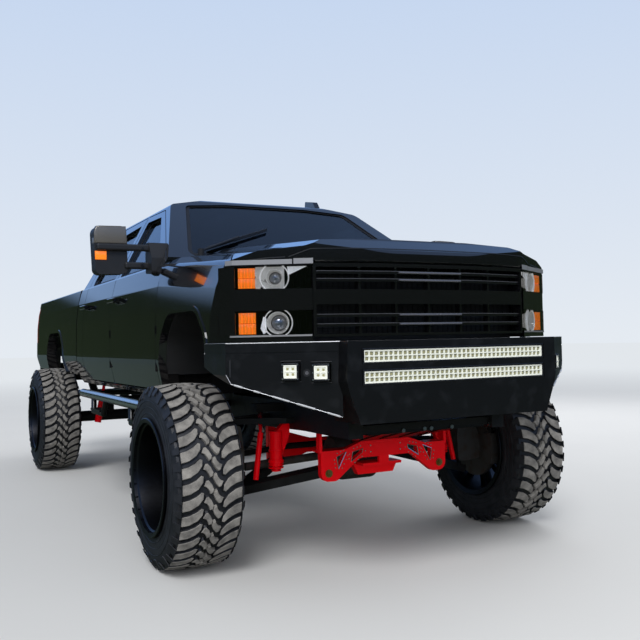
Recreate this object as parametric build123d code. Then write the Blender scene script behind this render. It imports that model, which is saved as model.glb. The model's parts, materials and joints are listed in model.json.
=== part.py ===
from build123d import *
import os
from math import acos, cos, hypot, pi, sin, tan

# Lifted four-door pickup truck with a standard bed. Millimetres, +Z up, the front faces -Y.
# While it is drawn, y runs from the front axle to the rear; place() then moves the origin to the
# middle of the overall length, on the ground.

# Driving dimensions
wheelbase = 3904
front_end = -1004            # front face of the bumper
rear_end = 5110              # rear face of the rear bumper
half_width = 1000            # body side at its widest
track_half = 1010            # wheel's middle plane
tyre_radius = 467
tyre_width = 346
lug_count = 30                 # lugs round the tyre in each of the two rows
lug_height = 15
lug_half = 0.3                 # half a lug's width as a share of the pitch
tread_crown = 0.972            # radius at the shoulders as a share of the middle's
rim_radius = 279.4           # bead seat of a 22 inch rim
rim_lip_radius = 300
rim_width = 380
rim_flange = 17            # width of the rim's lip
hub_face = 914               # where wheel and hub meet
kingpin_x = 740
steer_arm = 200              # steering arm's eye behind the kingpin
relay_y = 240
sill_bottom = 835
belt_height = 1590
roof_height = 2150
roof_edge_x = 700
roof_edge_height = 2062
cowl_y = 505
cab_back_y = 2832
bed_front_y = 2856
bed_back_y = 4990
rail_top = 1600
bed_floor_top = 1100
tailgate_front_y = bed_back_y - 65
gate_half = 890
gate_hinge_y = 4968
gate_hinge_z = 1106
gate_pin = 8
front_arch_half = 425
rear_arch_half = 455
front_arch_y = 42            # the front arch sits a little behind the axle
front_arch_top = 1300
rear_arch_top = 1262
lip_width = 26                 # raised lip round each arch
lip_proud = 5
front_hinge_y = 508          # shut line of the front door
middle_hinge_y = 1642        # shut line between the doors
rear_seam_y = 2580
door_bottom = 872
door_top = 2040
nose_drop = 95               # how much the hood falls from cowl to nose
hood_hinge_y = 518
hood_hinge_z = 1678
hood_arm_x = 500
hood_pin = 6
lamp_top = 1484
lamp_bottom = 1166
lamp_bar_top = 1378            # the body-colour bar between the upper and the lower lamp
lamp_bar_bottom = 1278
lamp_x = 772                   # middle of the lamps' bowls
bowl_back = -612
grille_half = 618
frame_x = 418
frame_width = 76
frame_height = 170
frame_top = 815
rail_front = -764
rail_rise = 60               # how much the rails climb over the rear axle
bumper_half = 588
bumper_top = 1132
bumper_bottom = 768
wing_end = -340              # rear edge of the bumper's wings
crease_z = 1086
pipe_radius = 34

# Walls and clearances
door_gap = 7
pane_gap = 0.3
seat_gap = 0.3
wall = 55
side_wall = 112
panel = 40
glass_thickness = 6
run_gap = 0.3

middle_y = (front_end + rear_end) / 2
axle_z = tyre_radius
os.makedirs("parts", exist_ok=True)


def place(shape):
    return Pos(0, -middle_y, 0) * shape


def save(node, *solids):
    parts = []
    for solid in solids:
        parts += [piece for piece in solid.solids()]
    moved = [place(piece) for piece in parts]
    shape = moved[0] if len(moved) == 1 else Compound(moved)
    export_step(shape, f"parts/{node}.step")


def both(*solids):
    return list(solids) + [mirror(solid, about=Plane.YZ) for solid in solids]


# An outline is a table of corners (a, b, radius); a missing radius is a sharp corner
def outline(rows, to_space):
    rows = [(row[0], row[1], row[2] if len(row) > 2 else 0) for row in rows]
    count = len(rows)
    ends = []
    for i, (a, b, radius) in enumerate(rows):
        before, after = rows[i - 1], rows[(i + 1) % count]
        if not radius:
            ends.append(((a, b), None, (a, b)))
            continue
        ua, ub = before[0] - a, before[1] - b
        va, vb = after[0] - a, after[1] - b
        lu, lv = hypot(ua, ub), hypot(va, vb)
        ua, ub, va, vb = ua / lu, ub / lu, va / lv, vb / lv
        half = acos(max(-1, min(1, ua * va + ub * vb))) / 2
        cut = radius / tan(half)
        wa, wb = ua + va, ub + vb
        lw = hypot(wa, wb)
        reach = radius / sin(half) - radius
        middle = (a + wa / lw * reach, b + wb / lw * reach)
        ends.append(((a + ua * cut, b + ub * cut), middle, (a + va * cut, b + vb * cut)))
    edges = []
    for i, (start, middle, end) in enumerate(ends):
        if middle:
            edges.append(ThreePointArc(to_space(*start), to_space(*middle), to_space(*end)))
        following = ends[(i + 1) % count][0]
        if hypot(following[0] - end[0], following[1] - end[1]) > 1e-6:
            edges.append(Line(to_space(*end), to_space(*following)))
    return make_face(edges)


def prism_x(rows, x0, x1):
    return extrude(outline(rows, lambda a, b: (x0, a, b)), amount=x1 - x0, dir=(1, 0, 0))


def prism_y(rows, y0, y1):
    return extrude(outline(rows, lambda a, b: (a, y0, b)), amount=y1 - y0, dir=(0, 1, 0))


def prism_z(rows, z0, z1):
    return extrude(outline(rows, lambda a, b: (a, b, z0)), amount=z1 - z0, dir=(0, 0, 1))


def block(x0, x1, y0, y1, z0, z1):
    return Pos((x0 + x1) / 2, (y0 + y1) / 2, (z0 + z1) / 2) * Box(x1 - x0, y1 - y0, z1 - z0)


def mirrored_rows(rows):
    return rows + [(-row[0],) + tuple(row[1:]) for row in reversed(rows) if row[0] != 0]


def turned(rows, x, y, z):
    # solid of revolution about a line along X; rows are (x offset, radius)
    face = outline(rows, lambda a, b: (x + a, y, z + b))
    return revolve(face, axis=Axis((x, y, z), (1, 0, 0)))


def rod(start, end, radius):
    line = Vector(*end) - Vector(*start)
    plane = Plane(origin=start, z_dir=line)
    return plane * Cylinder(radius, line.length, align=(Align.CENTER, Align.CENTER, Align.MIN))


# Cross-section of the cab and bed sides, half of it, from the sill up to the belt: (x, z, radius)
def lower_side(inset):
    return [
        (half_width - 62 - inset, sill_bottom, 12),
        (half_width - 34 - inset, sill_bottom + 40, 20),
        (half_width - inset, 1030, 160),
        (half_width - 6 - inset, 1330, 400),
        (half_width - 22 - inset, 1470, 60),
        (half_width - 52 - inset, belt_height, 0),
    ]


def cab_section(side, roof, floor):
    side_rows = lower_side(side)
    side_rows[0] = (side_rows[0][0], sill_bottom + floor, 0)
    rows = side_rows + [
        (half_width - 66 - side, belt_height + 14, 0),
        (roof_edge_x - roof, roof_edge_height - roof, 60),
        (360, roof_height - 18 - roof, 600),
    ]
    return mirrored_rows(rows)


# Cab in side view: cowl, windshield, header, roof, rear window, back: (y, z, radius)
def cab_profile(inset, floor):
    return [
        (cowl_y + inset, sill_bottom - 40 + floor),
        (cowl_y + inset, 1640 - inset * 0.4),
        (1215 + inset * 0.8, 2112 - inset, 120),
        (1560, roof_height - inset, 900),
        (2200, roof_height - inset, 900),
        (2600 - inset * 0.6, 2100 - inset, 90),
        (cab_back_y - 60 - inset, 1660),
        (cab_back_y - inset, 1560),
        (cab_back_y - inset, sill_bottom - 40 + floor),
    ]


def cab_form(side, roof, floor):
    tall = prism_y(cab_section(side, roof, floor), cowl_y - 80, cab_back_y + 80)
    return tall & prism_x(cab_profile(roof, floor), -half_width - 60, half_width + 60)


cab_outer = cab_form(0, 0, 0)
cab_inner = cab_form(side_wall, wall, 50)
# above the belt the wall is only as thick as the window frames
head_space = cab_form(wall, wall, 50) & block(-1100, 1100, cowl_y, cab_back_y, belt_height + 15, 2300)
cab_hollow = cab_inner + head_space
cab_wall = cab_outer - cab_hollow

# Doors: outline in side view (y, z, radius), hinge line and the arc that its rear edge follows
front_door_rows = [
    (front_hinge_y, door_bottom, 60),
    (front_hinge_y, 1618, 0),
    (1196, door_top - 12, 60),
    (middle_hinge_y, door_top, 0),
    (middle_hinge_y, door_bottom, 30),
]
rear_door_rows = [
    (middle_hinge_y, door_bottom, 30),
    (middle_hinge_y, door_top, 0),
    (2460, door_top - 6, 90),
    (rear_seam_y, 1650, 40),
    (rear_seam_y, door_bottom, 60),
]
front_window_rows = [
    (640, 1612, 20),
    (1218, 1984, 40),
    (1560, 1994, 20),
    (1572, 1604, 20),
    (700, 1604, 0),
]
rear_window_rows = [
    (1722, 1604, 20),
    (1720, 1994, 20),
    (2386, 1972, 60),
    (2470, 1640, 40),
    (2440, 1604, 10),
]
# hinge line, rear edge radius, outline, window
door_table = {
    "front": (front_hinge_y, middle_hinge_y - front_hinge_y, front_door_rows, front_window_rows),
    "rear": (middle_hinge_y, rear_seam_y - middle_hinge_y, rear_door_rows, rear_window_rows),
}
hinge_x = half_width - 1
hinge_pin = 3.2


def door_region(kind, grow):
    hinge_y, reach, rows, _ = door_table[kind]
    face = outline(rows, lambda a, b: (500, a, b))
    if grow:
        face = offset(face, amount=grow)
    region = extrude(face, amount=600, dir=(1, 0, 0))
    swing = Pos(hinge_x, hinge_y, 1500) * Cylinder(reach + grow, 2000)
    return (region & swing) - side_core(door_gap if grow < 0 else 0)


def side_core(shrink):
    # what lies inboard of the doors, over the whole length
    span = (cowl_y - 100, cab_back_y + 100)
    low = prism_y(cab_section(side_wall - shrink, wall - shrink, 0), *span)
    high = prism_y(cab_section(wall - shrink, wall - shrink, 0), *span)
    roof_core = roof_edge_x - wall + shrink
    high = (high & block(-1100, 1100, *span, belt_height + 15 - shrink, 2300)) + block(
        -roof_core, roof_core, *span, roof_edge_height - 2 * wall, 2300
    )
    return low + high


def door_pieces(kind):
    _, _, _, window_rows = door_table[kind]
    body = cab_outer & door_region(kind, -door_gap / 2)
    window = prism_x(window_rows, 500, 1100)
    pane_band = cab_form(22, 22, 0) - cab_form(22 + glass_thickness, 22 + glass_thickness, 0)
    pane_shape = extrude(
        offset(outline(window_rows, lambda a, b: (500, a, b)), amount=-pane_gap), amount=600, dir=(1, 0, 0)
    )
    return body - window, pane_band & pane_shape


def handle(y, z):
    x = half_width - 10
    grip = block(x + 22, x + 40, y - 95, y + 95, z - 16, z + 16)
    grip = fillet(grip.edges(), 7)
    posts = block(x - 20, x + 24, y - 90, y - 62, z - 13, z + 13)
    posts += block(x - 20, x + 24, y + 62, y + 90, z - 13, z + 13)
    return grip + posts


def build_doors():
    handles = {"front": handle(1490, 1440), "rear": handle(2430, 1436)}
    for kind in door_table:
        body, pane = door_pieces(kind)
        body = body + handles[kind]
        for side, other in (("left", False), ("right", True)):
            shapes = (body, pane)
            if other:
                shapes = tuple(mirror(shape, about=Plane.YZ) for shape in shapes)
            save(f"{kind}_door_{side}", shapes[0])
            save(f"{kind}_door_glass_{side}", shapes[1])


windshield_rows = [(786, 1656, 30), (600, 2058, 50), (300, 2084, 400)]
backlight_rows = [(700, 1690, 60), (600, 2010, 60)]


def pane_from(rows, y0, y1):
    closed = mirrored_rows(rows)
    opening = prism_y(closed, y0, y1)
    band = cab_form(0, 10, 0) - cab_form(0, 10 + glass_thickness, 0)
    shrunk = offset(outline(closed, lambda a, b: (a, y0, b)), amount=-pane_gap)
    return opening, band & extrude(shrunk, amount=y1 - y0, dir=(0, 1, 0))


def door_pins():
    # a thin strap in the shut gap carries each hinge pin
    pins = []
    for hinge_y, y0 in ((front_hinge_y, cowl_y + 0.2), (middle_hinge_y, middle_hinge_y - 1.5)):
        for z in (980, 1190):
            strap = block(half_width - side_wall - 20, hinge_x, y0, y0 + 3, z, z + 50)
            pins.append(strap + Pos(hinge_x, hinge_y, z + 25) * Cylinder(hinge_pin, 50))
    return both(*pins)


def hood_brackets():
    post = block(hood_arm_x + 14, hood_arm_x + 26, hood_hinge_y - 10, hood_hinge_y + 10, 1630, hood_hinge_z)
    head = rod((hood_arm_x + 14, hood_hinge_y, hood_hinge_z), (hood_arm_x + 26, hood_hinge_y, hood_hinge_z), 12)
    pin = rod((hood_arm_x - 2, hood_hinge_y, hood_hinge_z), (hood_arm_x + 20, hood_hinge_y, hood_hinge_z), hood_pin)
    return both(post + head + pin)


def build_cab():
    shell = cab_wall
    for kind in door_table:
        opening = door_region(kind, door_gap / 2)
        shell = shell - opening - mirror(opening, about=Plane.YZ)
    front_opening, windshield = pane_from(windshield_rows, cowl_y - 60, 1500)
    back_opening, backlight = pane_from(backlight_rows, 2450, cab_back_y + 60)
    shell = shell - front_opening - back_opening
    # inner pillar between the doors, inboard of both
    pillar = (cab_form(side_wall, wall, 50) - cab_form(side_wall + 40, wall + 40, 50)) & (
        block(600, 1000, middle_hinge_y - 60, middle_hinge_y + 60, 900, 2060)
    )
    shell = shell + pillar + mirror(pillar, about=Plane.YZ)
    for extra in door_pins() + hood_brackets():
        shell = shell + extra
    save("cab_shell", shell)
    save("fixed_glass", windshield, backlight)
    fin = prism_x([(1250, 2118), (1290, 2166, 12), (1412, 2188, 10), (1424, 2118)], 430, 470)
    save("antenna_fin", fin - cab_outer)


# Nose: hood, fenders and the opening for lamps and grille
def nose_section(side, top):
    rows = lower_side(side)[:-2] + [
        (half_width - 22 - side, 1470, 60),
        (half_width - 48 - side, 1592 - top, 40),
        (840 - side * 0.5, 1640 - top, 120),
        (650, 1668 - top, 60),
        (560, 1700 - top, 80),
        (300, 1714 - top, 300),
    ]
    return mirrored_rows(rows)


def nose_form(side, top, front):
    # the section slides forward and down, so the hood falls towards the grille
    length = cowl_y + 900
    face = outline(nose_section(side, top), lambda a, b: (a, cowl_y - run_gap, b))
    slide = Vector(0, -length, -nose_drop * length / 1250)
    slid = extrude(face, amount=slide.length, dir=slide.normalized())
    plan = mirrored_rows([
        (half_width + 40, cowl_y + 20),
        (half_width + 40, -330 + front, 0),
        (half_width - 6, -400 + front, 80),
        (half_width - 62, -560 + front, 60),
        (grille_half, -752 + front, 300),
        (260, -806 + front, 900),
    ])
    side_view = [
        (cowl_y + 40, sill_bottom - 60),
        (cowl_y + 40, 1760),
        (-560 + front, 1760),
        (-700 + front, 1616 - top, 60),
        (-790 + front, 1560 - top, 30),
        (-860 + front, 1480 - top, 0),
        (-860 + front, sill_bottom - 60),
    ]
    shape = slid & prism_z(plan, 600, 1900) & prism_x(side_view, -1200, 1200)
    return shape


nose_outer = nose_form(0, 0, 0)
nose_inner = nose_form(panel, panel, panel)
nose_shell = nose_outer - (nose_inner & block(-1200, 1200, -1000, cowl_y - 50, 700, 1900)) \
    - block(-880, 880, cowl_y - 60, cowl_y + 10, 700, 1560)


def arch_rows(centre_y, half, top, low):
    return [
        (centre_y - half - 14, low),
        (centre_y - half, low + 120, 60),
        (centre_y - half + 55, top - 130, 130),
        (centre_y - half + 190, top, 170),
        (centre_y + half - 190, top, 170),
        (centre_y + half - 55, top - 130, 130),
        (centre_y + half, low + 120, 60),
        (centre_y + half + 14, low),
    ]


def arch_lip(centre_y, half, top):
    arch = outline(arch_rows(centre_y, half, top, 700), lambda a, b: (half_width - 90, a, b))
    reach = 140
    return extrude(offset(arch, amount=lip_width), amount=reach, dir=(1, 0, 0)) - extrude(
        arch, amount=reach, dir=(1, 0, 0)
    )


hood_plan = mirrored_rows([
    (808, cowl_y - 6),
    (880, -420, 0),
    (960, -600, 0),
    (960, -1000, 0),
])
hood_seam = 1498


def hood_region(grow):
    plan = outline(hood_plan, lambda a, b: (a, b, hood_seam + (grow < 0) * 5))
    if grow:
        plan = offset(plan, amount=grow)
    return extrude(plan, amount=500, dir=(0, 0, 1))


def bumper_room():
    return block(-1200, 1200, -1010, wing_end + 6, 700, bumper_top + 4)


def build_nose():
    hood = nose_shell & hood_region(-3)
    hood = hood - block(-1200, 1200, cowl_y - 8, cowl_y + 60, 1400, 1900)
    arm = block(hood_arm_x, hood_arm_x + 12, cowl_y - 30, hood_hinge_y, hood_hinge_z - 14, hood_hinge_z + 12)
    ends = (hood_arm_x, hood_hinge_y, hood_hinge_z), (hood_arm_x + 12, hood_hinge_y, hood_hinge_z)
    arm = arm + rod(*ends, 16) - rod(*ends, hood_pin + run_gap)
    hood = hood + arm + mirror(arm, about=Plane.YZ)
    save("hood", hood)
    lamp_rooms = both(*[
        block(grille_half + 4, 990, -1000, -460, low, high)
        for low, high in ((lamp_bottom, lamp_bar_bottom), (lamp_bar_top, lamp_top))
    ])
    grille_room = block(-grille_half - 4, grille_half + 4, -1000, -560, 1100, hood_seam)
    cut_arch = prism_x(arch_rows(front_arch_y, front_arch_half, front_arch_top, 700), -1200, 1200)
    low_cut = bumper_room()
    fenders = nose_shell - hood_region(3) - grille_room - cut_arch - low_cut
    for room in lamp_rooms:
        fenders = fenders - room
    fenders = fenders - block(-700, 700, -1000, cowl_y + 20, 700, 1900)
    lip = (nose_form(-lip_proud, 0, 0) - nose_inner) & arch_lip(front_arch_y, front_arch_half, front_arch_top)
    lip = lip - low_cut
    save("front_fenders", fenders + lip + mirror(lip, about=Plane.YZ))
    build_lamps()
    build_grille()


def build_lamps():
    # each lamp has a round bowl with its projector, both facing forward
    lamp_band = nose_form(3, 3, 3) - nose_form(90, 90, 90)
    lamps = []
    for low, high, bowl_radius in ((lamp_bottom, lamp_bar_bottom, 46), (lamp_bar_top, lamp_top, 37)):
        room = block(grille_half + 7, 987, -1000, -463, low + run_gap, high - run_gap)
        middle = (low + high) / 2
        bowl = rod((lamp_x, -800, middle), (lamp_x, bowl_back, middle), bowl_radius)
        projector = Pos(lamp_x, bowl_back, middle) * Sphere(bowl_radius * 0.66)
        lamps.append(((lamp_band & room) - bowl) + (projector & block(600, 987, -800, bowl_back + 10, low, high)))
    save("headlamps", *both(*lamps))


# Grille rows: (low z, high z, set back from the skin, depth)
grille_table = [
    (1154, 1166, 0, 60),
    (1200, 1216, 14, 34),
    (1244, 1260, 14, 34),
    (1303, 1372, 0, 70),
    (1409, 1425, 14, 34),
    (1445, 1461, 14, 34),
    (1476, 1494, 0, 60),
]
grille_struts = [-380, -190, 0, 190, 380]
radiator_front = -640


def build_grille():
    grille = None
    for low, high, back, depth in grille_table:
        row = (nose_form(0, 0, back) - nose_form(0, 0, back + depth)) & block(
            -grille_half, grille_half, -1000, -500, low, high
        )
        grille = row if grille is None else grille + row
    for x in grille_struts:
        strut = (nose_form(0, 0, 26) - nose_form(0, 0, 64)) & block(x - 6, x + 6, -1000, -500, 1154, 1494)
        grille = grille + strut
    for side in (-1, 1):
        end = (nose_form(0, 0, 0) - nose_form(0, 0, 64)) & block(
            min(side * grille_half, side * (grille_half - 14)),
            max(side * grille_half, side * (grille_half - 14)),
            -1000, -500, 1154, 1494,
        )
        grille = grille + end
    for x in (-420, 420):
        grille = grille + block(x - 20, x + 20, -748, radiator_front - run_gap, 1325, 1350)
    save("grille", grille)
    core = block(-470, 470, radiator_front, -580, 930, 1450)
    posts = block(-620, -470, radiator_front, -600, 1130, 1450) + block(470, 620, radiator_front, -600, 1130, 1450)
    feet = block(-460, -380, radiator_front, -600, frame_top, 930) + block(380, 460, radiator_front, -600, frame_top, 930)
    save("radiator", core + posts + feet)


def build_bumper():
    half_front = mirrored_rows([
        (bumper_half, bumper_top, 0),
        (bumper_half + 6, 956, 0),
        (bumper_half - 8, 900, 0),
        (530, bumper_bottom, 0),
    ])
    centre = prism_y(half_front, front_end, -770)
    hollow = mirrored_rows([
        (bumper_half - 12, bumper_top - 12, 0),
        (bumper_half - 20, 905, 0),
        (510, bumper_bottom + 12, 0),
    ])
    centre = centre - prism_y(hollow, front_end + 12, -769)
    # windows for the two light bars
    for low, high in bar_rows:
        centre = centre - block(-bar_half - 4, bar_half + 4, front_end - 5, front_end + 20,
                                low - run_gap, high + run_gap)
    # wings: plan line from the box to the corner and back along the fender
    plan = [
        (bumper_half - 10, -934), (1004, -626), (1004, wing_end), (976, wing_end), (976, -612),
        (bumper_half - 10, -904)
    ]
    front_view = [
        (bumper_half - 10, bumper_top), (1010, bumper_top), (1010, 1004), (990, 950), (bumper_half - 10, 792)
    ]
    side_cut = [(-1010, 760), (-640, 945), (wing_end, 1020), (wing_end, bumper_top), (-1010, bumper_top)]
    wing = prism_z(plan, 760, bumper_top) & prism_y(front_view, -1000, wing_end + 10) & prism_x(side_cut, 500, 1100)
    top = prism_z([
        (bumper_half - 10, -934), (1004, -626), (1004, wing_end), (940, wing_end), (940, -590),
        (bumper_half - 10, -820)
    ], bumper_top - 8, bumper_top)
    crease = prism_z([
        (bumper_half - 10, -935), (1005, -627), (1005, wing_end), (1001, wing_end), (1001, -625),
        (bumper_half - 10, -930)
    ], crease_z - 3, crease_z + 3)
    wing = wing - crease
    for x, y, z in cube_places:
        pocket = Pos(x, y, z) * Rot(0, 0, cube_turn) * Box(cube_size + 12, 90, cube_size + 12)
        wing = wing - pocket
    horns = block(frame_x - frame_width / 2, frame_x + frame_width / 2, front_end + 12, rail_front, 780, frame_top)
    save("front_bumper", centre + wing + mirror(wing, about=Plane.YZ) + top + mirror(top, about=Plane.YZ)
         + horns + mirror(horns, about=Plane.YZ))


# Light bars: (low z, high z)
bar_rows = [(1029, 1099), (936, 1006)]
bar_half = 515
bar_depth = 70
cube_size = 76
cube_turn = 36.6
cube_places = [(762, -800, 1002), (652, -880, 997)]


def build_lights():
    lights = []
    for low, high in bar_rows:
        bar = block(-bar_half, bar_half, front_end, front_end + bar_depth, low, high)
        bar = bar - block(-bar_half + 12, bar_half - 12, front_end - 3, front_end + 10, low + 10, high - 10)
        lights.append(bar)
    for x, y, z in cube_places:
        cube = Box(cube_size, 60, cube_size) + Pos(0, 12, 0) * Box(cube_size + 12 - 2 * run_gap, 12, 20)
        lights += both(Pos(x, y, z) * Rot(0, 0, cube_turn) * cube)
    save("light_bars", *lights)


def lug_section(x, share, shift):
    # the tread in side view, where share is its radius there as a share of the middle's;
    # the tyre stands on the edges of two lugs, so these lie as low as its radius
    pitch = 2 * pi / lug_count
    edge_radius = tyre_radius / cos((0.5 - lug_half) * pitch)
    foot = lug_half + 0.045
    corners = []
    for i in range(lug_count):
        for angle, drop in ((-foot, lug_height), (-lug_half, 0), (lug_half, 0), (foot, lug_height)):
            turn = (i + shift + angle) * pitch
            radius = share * (edge_radius - drop)
            corners.append((x, radius * sin(turn), radius * cos(turn)))
    return make_face(Polyline(*corners, close=True))


def lugged_tyre():
    # two crowned rows of lugs, the second half a pitch behind the first
    half = tyre_width / 2
    outer_row = loft([lug_section(-half, tread_crown, 0), lug_section(0, 1, 0)], ruled=True)
    inner_row = loft([lug_section(0, 1, 0.5), lug_section(half, tread_crown, 0.5)], ruled=True)
    bore = Rot(0, 90, 0) * Cylinder(rim_radius + run_gap, tyre_width + 2)
    return outer_row + inner_row - bore


def build_wheels():
    bead = tyre_width / 2
    tyre = lugged_tyre()
    lip = rim_width / 2
    barrel_rows = [
        (-lip, rim_lip_radius), (-bead - 4, rim_lip_radius), (-bead - run_gap, rim_radius),
        (bead + run_gap, rim_radius), (bead + 4, rim_lip_radius), (lip, rim_lip_radius),
        (lip - 4, rim_radius - 10), (-lip + 4, rim_radius - 10),
    ]
    face_x = hub_face - track_half + run_gap
    disc_rows = [
        (face_x, 66), (face_x + 26, 66), (face_x + 44, 100), (face_x + 30, 120), (face_x, 120),
    ]
    for side, sign in (("left", 1), ("right", -1)):
        for end, y in (("front", 0), ("rear", wheelbase)):
            rim = turned(barrel_rows, 0, 0, 0) + turned(disc_rows, 0, 0, 0)
            spoke = prism_x([(-34, 100), (-22, rim_radius - 4), (22, rim_radius - 4), (34, 100)],
                            face_x + 4, face_x + 30)
            for i in range(8):
                rim = rim + Rot(i * 45, 0, 0) * spoke
            shapes = [tyre, rim]
            if sign < 0:
                shapes = [mirror(shape, about=Plane.YZ) for shape in shapes]
            spot = Pos(sign * track_half, y, axle_z)
            save(f"tyre_{end}_{side}", spot * shapes[0])
            save(f"rim_{end}_{side}", spot * shapes[1])


def hub(y):
    # brake disc, hub flange and spigot
    flange = turned([(0, 0), (0, 95), (-30, 95), (-30, 60), (-90, 60), (-90, 0)], hub_face, y, axle_z)
    disc = turned([(-30, 60), (-30, 180), (-60, 180), (-60, 60)], hub_face, y, axle_z)
    spigot = turned([(-1, 0), (-1, 65), (46, 58), (46, 0)], hub_face, y, axle_z)
    return flange + disc + spigot


def build_front_suspension():
    z_low, z_high = 392, 700
    arm_x = frame_x + frame_width / 2 + run_gap
    upright = prism_y([
        (kingpin_x - 40, z_low, 20), (kingpin_x + 40, z_low, 20), (860, 400, 20), (860, 540, 20),
        (kingpin_x + 30, z_high, 20), (kingpin_x - 30, z_high, 20), (kingpin_x - 50, 540, 40),
    ], -55, 55)
    arm = block(kingpin_x - 30, kingpin_x + 20, 50, steer_arm + 24, 528, 556)
    caliper = block(840, 900, -190, -100, 380, 560) & turned(
        [(-90, 110), (-90, 215), (-10, 215), (-10, 110)], hub_face, 0, axle_z)
    knuckle = upright + arm + hub(0) + caliper
    save("knuckle_left", knuckle)
    save("knuckle_right", mirror(knuckle, about=Plane.YZ))
    lower = prism_z([
        (334, -309.7, 0), (380, -309.7, 0), (kingpin_x - 30, -60, 40), (kingpin_x + 46, -40, 30),
        (kingpin_x + 46, 40, 30), (kingpin_x - 30, 60, 40), (380, 302, 0), (334, 302, 0), (334, 230, 0),
        (600, 30, 40), (600, -30, 40), (334, -230, 0),
    ], 0, 44)
    pivot_x, pivot_z, slope = 334, 462, 16.1
    lower = Pos(pivot_x, 0, pivot_z) * Rot(0, slope, 0) * Pos(-pivot_x, 0, -22) * lower
    lower = lower + rod((kingpin_x, 0, 345), (kingpin_x, 0, z_low - run_gap), 14)
    upper = prism_z([
        (arm_x, -170, 0), (500, -170, 0), (kingpin_x + 30, -44, 30), (kingpin_x + 30, 44, 30), (500, 170, 0),
        (arm_x, 170, 0), (arm_x, 140, 0), (690, 10, 10), (690, -10, 10), (arm_x, -140, 0),
    ], 706, 736) + rod((kingpin_x, 0, 707), (kingpin_x, 0, z_high + run_gap), 14)
    save("control_arms", *both(lower, upper))
    build_shocks()
    build_crossmember()
    relay = rod((-300, relay_y, 530), (300, relay_y, 530), 18)
    ties = both(rod((290, relay_y, 530), (kingpin_x - 5, steer_arm, 504), 16))
    eyes = both(Pos(kingpin_x - 5, steer_arm, 512) * Cylinder(24, 32 - 2 * run_gap))
    bar = relay
    for piece in ties + eyes:
        bar = bar + piece
    save("steering_rod", bar)


def build_shocks():
    body = rod((640, -80, 412), (600, -62, 655), 27) + rod((600, -62, 650), (582, -20, 766), 14)
    mount = block(frame_x + frame_width / 2, 620, -60, 20, 764, 806)
    rear_y = wheelbase - 210
    rear_body = rod((650, rear_y, 420), (606, rear_y, 640), 30) + rod((606, rear_y, 635), (582, rear_y, 800), 14)
    rear_body = rear_body + block(frame_x + frame_width / 2, 620, rear_y - 40, rear_y + 40, 798, 840)
    save("shock_absorbers", *both(body + mount, rear_body))


# Crossmember plates in front view: (x, z, radius); the lobes hold the arm pivots
crossmember_rows = [
    (0, 604, 0), (150, 604, 60), (250, 568, 60), (388, 568, 0), (388, 412, 44), (298, 410, 40), (160, 518, 60),
    (0, 518, 0),
]
crossmember_holes = [
    [(297, 533, 5), (240, 556, 5), (287, 472, 5)],
    [(202, 552, 5), (140, 566, 5), (144, 546, 5), (210, 504, 5)],
]
rear_member_rows = [
    (0, 556, 0), (110, 556, 40), (290, 610, 40), (396, 655.2, 0), (396, 430, 40), (330, 404, 40), (262, 430, 40),
    (150, 476, 60), (0, 476, 0),
]
arm_front = -310               # the lower arms lie between the two crossmember plates
arm_back = 302.3
plate_depth = 35


def build_crossmember():
    rows = mirrored_rows(crossmember_rows)
    plate = prism_y(rows, arm_front - plate_depth, arm_front)
    for hole in crossmember_holes:
        cut = prism_y(hole, arm_front - plate_depth - 5, arm_front + 5)
        plate = plate - cut - mirror(cut, about=Plane.YZ)
    rail_low = frame_top - frame_height + 30 - run_gap
    ears = both(prism_x([(-345, 560), (-310, 560), (-310, rail_low), (-345, rail_low)], 380, 396))
    web = block(-392, 392, -312, -250, 560, 568)
    skid = prism_y([(-140, 470), (140, 470), (110, 412), (-110, 412)], -240, -200)
    link = block(-120, 120, -312, -200, 466, 480) + block(-30, 30, -330, -310, 478, 560)
    shape = plate + web + skid + link
    for ear in ears:
        shape = shape + ear
    rear_plate = prism_y(mirrored_rows(rear_member_rows), arm_back, arm_back + plate_depth)
    save("lift_crossmember", shape, rear_plate)
    # bump stops: a tube with a collar and a rubber, braced to the rail
    stop_x, stop_y = 532, -105
    rail_side = frame_x + frame_width / 2 + run_gap
    brace = prism_y([
        (stop_x, 520), (stop_x, 664), (505, 699, 0), (rail_side, 699), (rail_side, 640), (stop_x - 24, 540, 20)
    ], stop_y - 13, stop_y + 13)
    stop = rod((stop_x, stop_y, 484), (stop_x, stop_y, 664), 27) + rod((stop_x, stop_y, 496), (stop_x, stop_y, 512), 32)
    stop = stop + rod((stop_x, stop_y, 452), (stop_x, stop_y, 485), 20)
    save("bump_stops", *both(stop + brace))


def build_skid():
    # side view: under the first frame member, then down and back onto the crossmember plate
    member_low, plate_top, sheet = 690 - run_gap, 604 + run_gap, 6
    side_view = [
        (-744, member_low), (-656, member_low, 40), (-340, plate_top + sheet, 40), (-250, plate_top + sheet),
        (-250, plate_top), (-342, plate_top, 34), (-660, member_low - sheet, 34), (-744, member_low - sheet),
    ]
    skid = prism_x(side_view, -350, 350) & prism_z(mirrored_rows([(345, -744), (345, -600, 40), (150, -250, 30)]), 500, 800)
    for x in (-180, -60, 60, 180):
        rib = prism_x([(-640, 672), (-640, 692), (-400, 633), (-400, 613)], x - 10, x + 10)
        skid = skid + rib
    save("skid_plate", skid)


def rail_rows():
    top, low = frame_top, frame_top - frame_height
    rise = rail_rise
    return [
        (rail_front, low + 30, 0), (rail_front, top, 0), (3000, top, 0), (3350, top + rise, 200), (4300, top + rise, 200),
        (4960, top + 30, 0), (4960, top - 110, 0), (4300, top + rise - 140, 200), (3350, low + rise + 20, 200),
        (3000, low, 200), (700, low, 200), (-300, low + 30, 200),
    ]


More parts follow.
